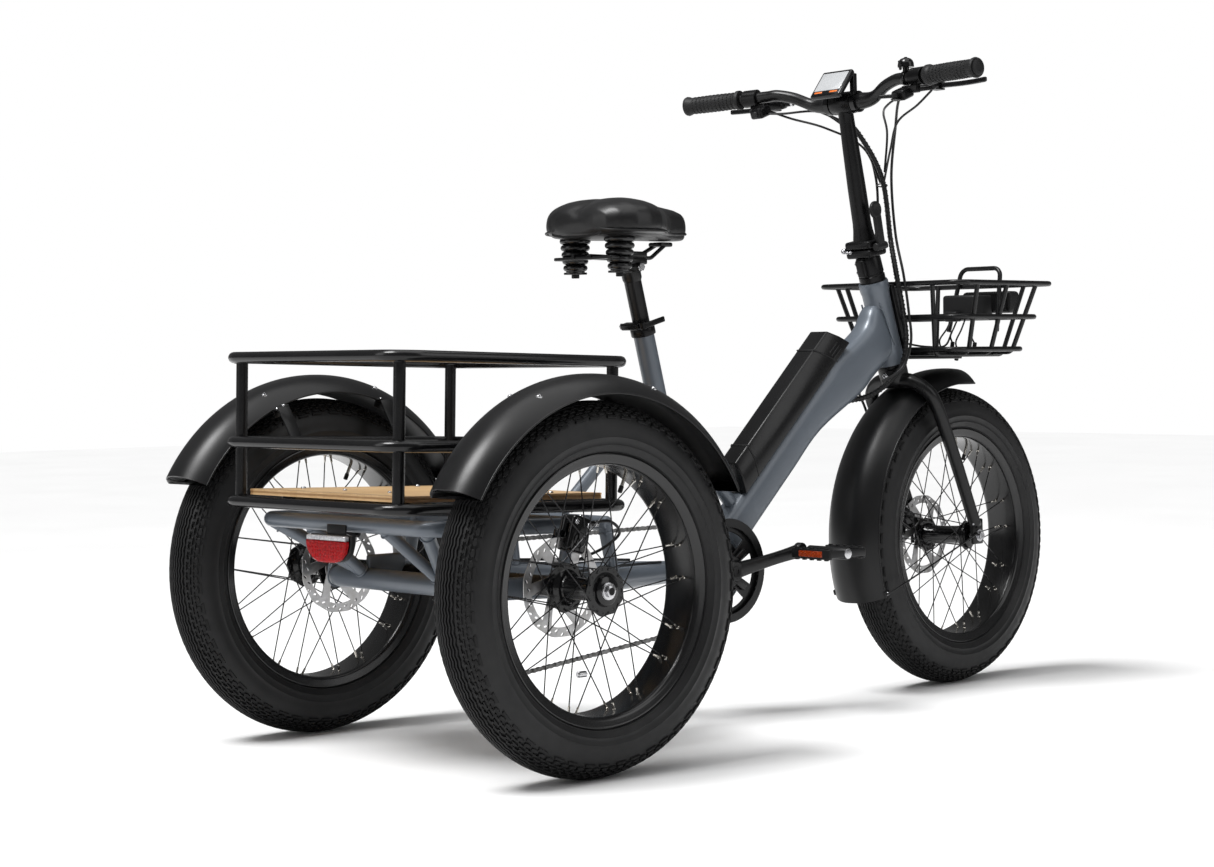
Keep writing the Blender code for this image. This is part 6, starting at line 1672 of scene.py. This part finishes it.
line = chain_route()
_, chain_length = along_loop(line, 4)
count = 2 * round(chain_length / CHAIN_PITCH / 2)
pins, _ = along_loop(line, count)
pitch = chain_length / count
waist = [(0.0036 * math.cos(a),
          0.0036 * math.sin(a)) for a in (math.radians(90 + 22.5 * k) for k in range(9))]
figure = [(x, y) for x, y in waist] + [(pitch / 2, -0.0026)] + \
    [(pitch - x, -y) for x, y in waist] + [(pitch / 2, 0.0026)]
link_plate = grid([[Vector((h, u, v)) for u, v in figure] for h in (-0.0004, 0.0004)], caps=True)
roller = rod((-0.0020, 0, 0), (0.0020, 0, 0), 0.0039, 10)
pin_shape = rod((-0.0038, 0, 0), (0.0038, 0, 0), 0.0018, 8)
links = []
for k, at in enumerate(pins):
    after = pins[(k + 1) % count]
    heading = math.atan2(after.y - at.y, after.x - at.x)
    place = Matrix.Translation((CHAIN_X, at.x, at.y)) @ Matrix.Rotation(heading, 4, "X")
    offset = 0.0033 if k % 2 else 0.0023
    for sign in (1, -1):
        links.append(link_plate.moved(place @ Matrix.Translation((sign * offset, 0, 0))))
    links.append(roller.moved(place))
    links.append(pin_shape.moved(place))
piece(joined(links), "chain_links", "frame", CHAIN_STEEL, "chain", sharp=30)

cogs = []
AXLE = Vector((0, WHEEL_RADIUS))
for k, teeth in enumerate((32, 28, 24, 18, 13)):
    x = CHAIN_X + 0.0065 * (1 - k)
    radius = toothed_radius(teeth)
    holes = [circle(tuple(AXLE), 0.0178, 24)]
    if teeth > 20:
        holes += [circle((AXLE.x + radius * 0.68 * math.cos(a), AXLE.y + radius * 0.68 * math.sin(a)),
                         radius * 0.11, 10) for a in (2 * math.pi * m / 8 + k * 0.2 for m in range(8))]
    cogs.append(plate(tooth_outline(teeth, tuple(AXLE)), 0.0018, Matrix.Translation((x, 0, 0)) @ YZ, holes,
                      0.0003))
first, last = CHAIN_X + 0.0114, CHAIN_X - 0.0244
carrier = lathe([(0.0174, first - CHAIN_X), (0.0230, first - CHAIN_X), (0.0230, last - CHAIN_X),
                 (0.0174, last - CHAIN_X)], 32, (CHAIN_X, 0, WHEEL_RADIUS))
piece(joined([*cogs, carrier]), "cassette_cogs", "cassette", CHAIN_STEEL, "rear_sprockets",
      sharp=30)

crank_centre = (CRANK.y, CRANK.z)
windows = [circle(crank_centre, 0.0200, 24)]
for k in range(5):
    start = 72 * k + 12
    windows.append(circle(crank_centre, 0.071, 9, start, 48) + circle(crank_centre, 0.037, 6, start + 6,
                                                                      36)[::-1])
ring = plate(tooth_outline(RING_TEETH, crank_centre), 0.0036, Matrix.Translation((CHAIN_X, 0, 0)) @ YZ,
             windows,
             0.0006)
guard = plate(circle(crank_centre, 0.0945, 96), 0.0022, Matrix.Translation((CHAIN_X - 0.0080, 0, 0)) @ YZ,
              [circle(crank_centre, 0.0790, 72)], 0.0006)
piece(ring + guard, "chainring_plate", "crankset", SATIN, "chainring", sharp=30)
piece(joined([dome_bolt((CHAIN_X - 0.0020, CRANK.y + 0.0540 * math.cos(a), CRANK.z + 0.0540 * math.sin(a)),
                        -X,
                        0.0045) for a in (math.radians(72 * k) for k in range(5))]), "chainring_bolts",
      "crankset", SILVER)

body = [block((0.012, 0.030, 0.040), (CHAIN_X - 0.020, GUIDE.x, 0.2250), edge=0.005, segments=4),
        plate([(0.026 * math.cos(a), WHEEL_RADIUS + 0.026 * math.sin(a)) for a in
               (math.pi * k / 18 for k in range(19))] + [(-0.010, 0.222), (0.022, 0.222)], 0.0058,
              Matrix.Translation((CHAIN_X - 0.0275, 0, 0)) @ YZ, [circle((0, WHEEL_RADIUS), 0.0172, 24)],
              0.001),
        block((0.0060, 0.014, 0.040), (CHAIN_X - 0.0290, GUIDE.x - 0.010, 0.2330), tilt(24), 0.002),
        rod((CHAIN_X - 0.0320, GUIDE.x, GUIDE.y), (CHAIN_X - 0.0140, GUIDE.x, GUIDE.y), 0.0085, 24)]
piece(joined(body), "derailleur_body", "frame", GLOSS, "derailleur")
piece(dome_bolt((CHAIN_X - 0.0320, GUIDE.x, GUIDE.y), -X, 0.0052)
      + dome_bolt((CHAIN_X - 0.0310, 0.004, 0.2520), -X, 0.0045), "derailleur_bolts", "frame", SILVER)
down = TENSION - GUIDE
heading = math.degrees(math.atan2(down.y, down.x))
outline = circle(tuple(GUIDE), 0.0120, 13, heading + 90, 180) + circle(tuple(TENSION), 0.0120, 13,
                                                                       heading - 90, 180)
middle = (GUIDE + TENSION) / 2
hollow = circle(tuple(middle + down * 0.10), 0.0060, 10, heading - 90, 180) + \
    circle(tuple(middle - down * 0.10), 0.0060, 10, heading + 90, 180)
cage = [plate(outline, 0.0018, Matrix.Translation((CHAIN_X + s * 0.0062, 0, 0)) @ YZ, [hollow], 0.0003)
        for s in (1, -1)]
for pulley in (GUIDE, TENSION):
    cage.append(rod((CHAIN_X - 0.0074, *pulley), (CHAIN_X + 0.0074, *pulley), 0.0030, 16))
piece(joined(cage), "derailleur_cage_plates", "cage", ANODISED, "derailleur_cage", sharp=30)
jockeys = [plate(tooth_outline(JOCKEY_TEETH, tuple(p)), 0.0022, Matrix.Translation((CHAIN_X, 0, 0)) @ YZ,
                 [circle(tuple(p), 0.0034, 12)], 0.0003) for p in (GUIDE, TENSION)]
piece(joined(jockeys), "jockey_wheels", "cage", PLASTIC, sharp=30)

for side, sign in SIDES:
    inner = 0.0725 if sign > 0 else 0.0665
    forward = Vector((0, -math.cos(math.radians(10)), math.sin(math.radians(10)))) * 0.165
    tip = CRANK - sign * forward
    root = CRANK + X * sign * (inner + 0.007)
    end = tip + X * sign * (inner + 0.017)
    rows = []
    for k in range(17):
        t = k / 16
        at = root.lerp(end, t)
        along = (end - root).normalized()
        thick = 0.0075 - 0.0018 * t + 0.0008 * (1 - t) ** 4
        wide = 0.0150 - 0.0040 * math.sin(math.pi * min(1, t * 0.75)) + 0.0012 * t ** 6
        across = along.cross(X).normalized()
        deep = across.cross(along).normalized()
        ring_points = []
        for m in range(20):
            a = 2 * math.pi * m / 20
            c, s = math.cos(a), math.sin(a)
            ring_points.append(at + across * wide * math.copysign(abs(c) ** 0.55, c)
                               + deep * thick * math.copysign(abs(s) ** 0.55, s))
        rows.append(ring_points)
    arm = [grid(rows, caps=True), rod(root - X * 0.0085, root + X * 0.0085, 0.0188, 36, 0.0025),
           rod(end - X * 0.0070, end + X * 0.0070, 0.0148, 28, 0.0025),
           rod(end, Vector((sign * 0.1975, tip.y, tip.z)), 0.0045, 20)]
    if sign < 0:
        arm += [rod(CRANK - X * 0.0680, CRANK + X * 0.0720, 0.0125, 28), rod(CRANK - X * 0.0680,
                CRANK - X * 0.0525, 0.0290, 32, 0.002),
                rod(CRANK - X * 0.0530, CRANK - X * 0.0462, 0.0194, 32)]
        for k in range(5):
            a = math.radians(72 * k)
            reach = Vector((0, math.cos(a), math.sin(a)))
            arm.append(bevelled(block((0.0060, 0.042, 0.013), CRANK + X * -0.0555 + reach * 0.036,
                                      tilt(math.degrees(a)), 0), 0.0015))
    piece(joined(arm), f"crank_{side}", "crankset", SATIN, f"crank_arm_{side}", sharp=45)
    piece(lathe([(0, 0), (0.0100, 0), (0.0105, 0.0006), (0.0100, 0.0014), (0.0045, 0.0012),
                 (0.0040, -0.0010),
                 (0, -0.0010)], 28, root + X * sign * 0.0086, X * sign, ring=False), f"crank_bolt_{side}",
          "crankset",
          ANODISED)

    centre = Vector((sign * 0.155, tip.y, tip.z))
    frame_bars = []
    for dy in (-0.0445, 0.0445):
        frame_bars.append(block((0.094, 0.0080, 0.0190), centre + Y * dy, edge=0.002))
    for dx in (-0.0440, 0.0, 0.0440):
        frame_bars.append(block((0.0080, 0.094, 0.0130), centre + X * dx, edge=0.002))
    frame_bars.append(lathe([(0.0050, -0.048), (0.0100, -0.048), (0.0112, -0.046), (0.0112, 0.046),
                             (0.0100, 0.048),
                             (0.0050, 0.048)], 32, centre))
    for dx in (-0.022, 0.022):
        for dy in (-0.0240, 0.0240):
            frame_bars.append(block((0.0360, 0.0050, 0.0120), centre + Vector((dx, dy, 0)), edge=0.0015))
    for dx in (-0.036, -0.018, 0.0, 0.018, 0.036):
        for dy in (-0.0445, 0.0445):
            for lift in (-0.0102, 0.0102):
                frame_bars.append(block((0.0070, 0.0066, 0.0028), centre + Vector((dx, dy, lift)),
                                        edge=0.0008))
    piece(joined(frame_bars), f"pedal_frame_{side}", f"{side}_pedal", PLASTIC,
          f"pedal_{side}")
    lens = [block((0.058, 0.0050, 0.0115), centre + Y * dy, edge=0.0012) for dy in (-0.0468, 0.0468)]
    piece(joined(lens), f"pedal_reflector_{side}", f"{side}_pedal", AMBER)
    cap = centre + X * sign * 0.0470
    piece(lathe([(0, 0), (0.0090, 0), (0.0092, 0.0010), (0.0060, 0.0018), (0, 0.0018)], 24, cap, X * sign,
                ring=False), f"pedal_cap_{side}", f"{side}_pedal", SILVER)


# Cables. The route's points are the CAD's, split where the steering and the stem's hinge bend them.

def steered(point):
    turn = Matrix.Rotation(REST_STEER, 4, STEER_UP)
    return turn @ (Vector(point) - HEAD_TOP) + HEAD_TOP


def bent(shape, name, matrix=None, replaces=(), look=None):
    """A stretch of cable, moved into place and baked, that hangs from no body."""
    mesh = bpy.data.meshes.new(name)
    mesh.from_pydata(shape.verts, [], shape.faces)
    place = BIKE if matrix is None else matrix
    mesh.transform(place)
    mesh.shade_smooth()
    obj = bpy.data.objects.new(name, mesh)
    bpy.context.scene.collection.objects.link(obj)
    mesh.materials.append(look or CABLE)
    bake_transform(obj)
    if replaces:
        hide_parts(replaces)
    return obj


def split(route, height):
    """A route cut in two where it first passes below a height; both parts share the point there."""
    for k, point in enumerate(route):
        if point.z < height:
            return route[:k + 1], route[k:]
    return route, route[-1:]


left, _ = bar_at(0.2010)
right, _ = bar_at(-0.2010)
front_hose = [left + Vector((-0.0490, -0.047, -0.012)), left + Vector((-0.065, -0.050, -0.012)),
              left + Vector((-0.105, -0.078, -0.030)), (0.045, -1.090, 1.090), (0.020, -1.110, 1.000),
              (0.022, -1.108, 0.890), (0.039, -1.093, 0.810), (0.044, -1.101, 0.740),
              (0.045, -1.105, 0.680),
              (0.054, -1.105, 0.625), (0.084, -1.122, 0.585), (0.086, -1.143, 0.550),
              (0.080, -1.185, 0.450),
              (0.068, -1.1762, 0.3560)]
front_route = smooth(front_hose, 12)
high_part, low_part = split(front_route, 0.805)
bent(sweep(high_part, 0.0026, 12), "front_hose_upper",
     STEERED, "front_brake_hose")
piece(sweep(low_part, 0.0026, 12), "front_hose_lower", "steering", CABLE, matrix=STEERED)

rear_hose = [steered(right + Vector(step)) for step in
             ((0.0490, -0.047, -0.012), (0.065, -0.050, -0.012), (0.105, -0.078, -0.030))]
rear_hose += [steered(p) for p in ((-0.045, -1.090, 1.090), (-0.016, -1.112, 1.000),
                                   (-0.028, -1.104, 0.890))]
rear_hose += [(-0.058, -1.088, 0.810), (-0.060, -1.100, 0.740), (-0.057, -1.110, 0.680),
              (-0.048, -1.095, 0.630), (-0.036, -1.050, 0.603)]
harness = [steered(p) for p in ((0.030, -1.020, 1.112), (0.022, -1.060, 1.085), (0.002, -1.105, 1.000),
                                (0.002, -1.128, 0.880))]
harness += [(-0.040, -1.091, 0.800), (-0.044, -1.102, 0.740), (-0.042, -1.113, 0.680),
            (-0.034, -1.102, 0.625),
            (-0.014, -1.050, 0.580), (0.0, -0.985, 0.5660)]


def loom(name, knots, radius, replaces, shift=Vector((0, 0, 0)), wrapped=False):
    """A cable from the bar to the frame, cut in two at a height; neither part hangs from a body."""
    route = [p + shift for p in smooth(knots, 12)]
    high, low = split(route, 0.885)
    parts = []
    for part in (high, low):
        parts.append(sweep(part, radius, 12))
    if wrapped:
        for index, part in ((0, high[len(high) // 3:]), (1, low)):
            coil, travelled = [], 0.0
            for k in range(len(part) - 1):
                tangent = (part[k + 1] - part[k]).normalized()
                side = tangent.cross(X).normalized()
                other = tangent.cross(side)
                for step in range(6):
                    at = part[k].lerp(part[k + 1], step / 6)
                    travelled += (part[k + 1] - part[k]).length / 6
                    a = 2 * math.pi * travelled / 0.0085
                    coil.append(at + (side * math.cos(a) + other * math.sin(a)) * (radius + 0.0002))
            parts[index] = parts[index] + sweep(coil, 0.0011, 6)
    bent(parts[0], f"{name}_upper",
         replaces=replaces)
    bent(parts[1], f"{name}_lower")


loom("rear_hose", rear_hose, 0.0026, "rear_brake_hose")
loom("harness_bundle", harness, 0.0048, "wiring_harness", wrapped=True)

# the short leads on the bar
for name, knots in (("display_lead", [(0.012, -0.985, 1.135), (0.016, -1.010, 1.128),
                                      (0.024, -1.030, 1.110),
                                      (0.022, -1.052, 1.092)]),
                    ("switch_lead", [left + Vector((-0.046, 0.004, -0.034)),
                                     left + Vector((-0.075, -0.006, -0.036)),
                                     (0.072, -1.004, 1.128), (0.040, -1.046, 1.098)]),
                    ("shift_lead", [right + Vector((0.044, 0.004, -0.034)),
                                    right + Vector((0.080, -0.010, -0.044)),
                                    (-0.070, -1.020, 1.112), (-0.034, -1.078, 1.080),
                                    (-0.006, -1.104, 1.010)]),
                    ("sensor_lead_left", [left + Vector((-0.006, -0.048, -0.022)),
                                          left + Vector((-0.050, -0.060, -0.040)),
                                          (0.086, -1.040, 1.100), (0.030, -1.084, 1.060),
                                          (0.006, -1.106, 0.990)]),
                    ("sensor_lead_right",
                     [right + Vector((0.006, -0.048, -0.022)), right + Vector((0.050, -0.062, -0.044)),
                                           (-0.080, -1.050, 1.096), (-0.030, -1.092, 1.050),
                      (-0.002, -1.106, 0.990)])):
    piece(sweep(smooth(knots, 8), 0.0022, 8), name, "stem", CABLE, matrix=STEERED)
ties = [weld_ring((0.004, -1.108, 0.985), (0.1, -0.2, 1), 0.0098, 0.0014, 16)]
piece(joined(ties), "cable_tie", "stem", PLASTIC, matrix=STEERED)


# Floor, light and camera

floor_mesh = bpy.data.meshes.new("floor")
floor_mesh.from_pydata([(-14, -14, 0), (14, -14, 0), (14, 14, 0), (-14, 14, 0)], [], [(0, 1, 2, 3)])
floor = bpy.data.objects.new("studio_floor", floor_mesh)
bpy.context.scene.collection.objects.link(floor)
floor_mesh.materials.append(finish("pale_floor", (0.90, 0.90, 0.90), (0.92, 0.92, 0.92), 0.75, grain=40,
                                   grain_strength=0.02, blotch=0.5))

world = bpy.data.worlds.new("studio")
bpy.context.scene.world = world
world.use_nodes = True
sky = world.node_tree.nodes["Background"]
sky.inputs["Color"].default_value = (1, 1, 1, 1)
seen = world.node_tree.nodes.new("ShaderNodeLightPath")
share = world.node_tree.nodes.new("ShaderNodeMapRange")     # white to look at, dimmer as a light
share.inputs["To Min"].default_value = 0.16
share.inputs["To Max"].default_value = 1.0
world.node_tree.links.new(seen.outputs["Is Camera Ray"], share.inputs["Value"])
world.node_tree.links.new(share.outputs["Result"], sky.inputs["Strength"])
bpy.context.scene.view_settings.view_transform = "Standard"


def area_light(name, place, target, size, power):
    lamp = bpy.data.lights.new(name, "AREA")
    lamp.shape = "RECTANGLE"
    lamp.size, lamp.size_y = size
    lamp.energy = power
    obj = bpy.data.objects.new(name, lamp)
    obj.location = place
    obj.rotation_euler = (Vector(target) - Vector(place)).to_track_quat("-Z", "Y").to_euler()
    bpy.context.scene.collection.objects.link(obj)
    return obj


area_light("top_softbox", (-0.4, 0.3, 3.2), (0, 0, 0.4), (3.0, 3.0), 45)
area_light("side_softbox", (-3.0, -1.2, 2.2), (0, 0, 0.5), (1.6, 2.6), 22)
area_light("rear_softbox", (1.0, 3.4, 1.8), (0, 0.2, 0.5), (1.6, 2.0), 18)
overhead = bpy.data.lights.new("overhead_sky", "SUN")       # one even wash over the whole floor
overhead.energy = 3.5
overhead.angle = math.radians(24)
overhead_lamp = bpy.data.objects.new("overhead_sky", overhead)
overhead_lamp.rotation_euler = Vector((-0.14, -0.55, -1)).to_track_quat("-Z", "Y").to_euler()
bpy.context.scene.collection.objects.link(overhead_lamp)

lens_length, sensor = 74.77, 36.0
azimuth, elevation, roll = math.radians(227.82), math.radians(1.654), math.radians(-0.574)
back = Vector((math.sin(azimuth) * math.cos(elevation), -math.cos(azimuth) * math.cos(elevation),
               math.sin(elevation)))
level_right = (-back).cross(Z).normalized()
level_up = level_right.cross(-back)
right_axis = level_right * math.cos(roll) + level_up * math.sin(roll)
up_axis = level_up * math.cos(roll) - level_right * math.sin(roll)
camera_data = bpy.data.cameras.new("photo_camera")
camera_data.lens, camera_data.sensor_width = lens_length, sensor
camera = bpy.data.objects.new("photo_camera", camera_data)
camera.matrix_world = Matrix.Translation((-3.274, 3.2425, 0.6488)) @ \
    Matrix((right_axis, up_axis, back)).transposed().to_4x4()
bpy.context.scene.collection.objects.link(camera)
bpy.context.scene.camera = camera
bpy.context.view_layer.update()
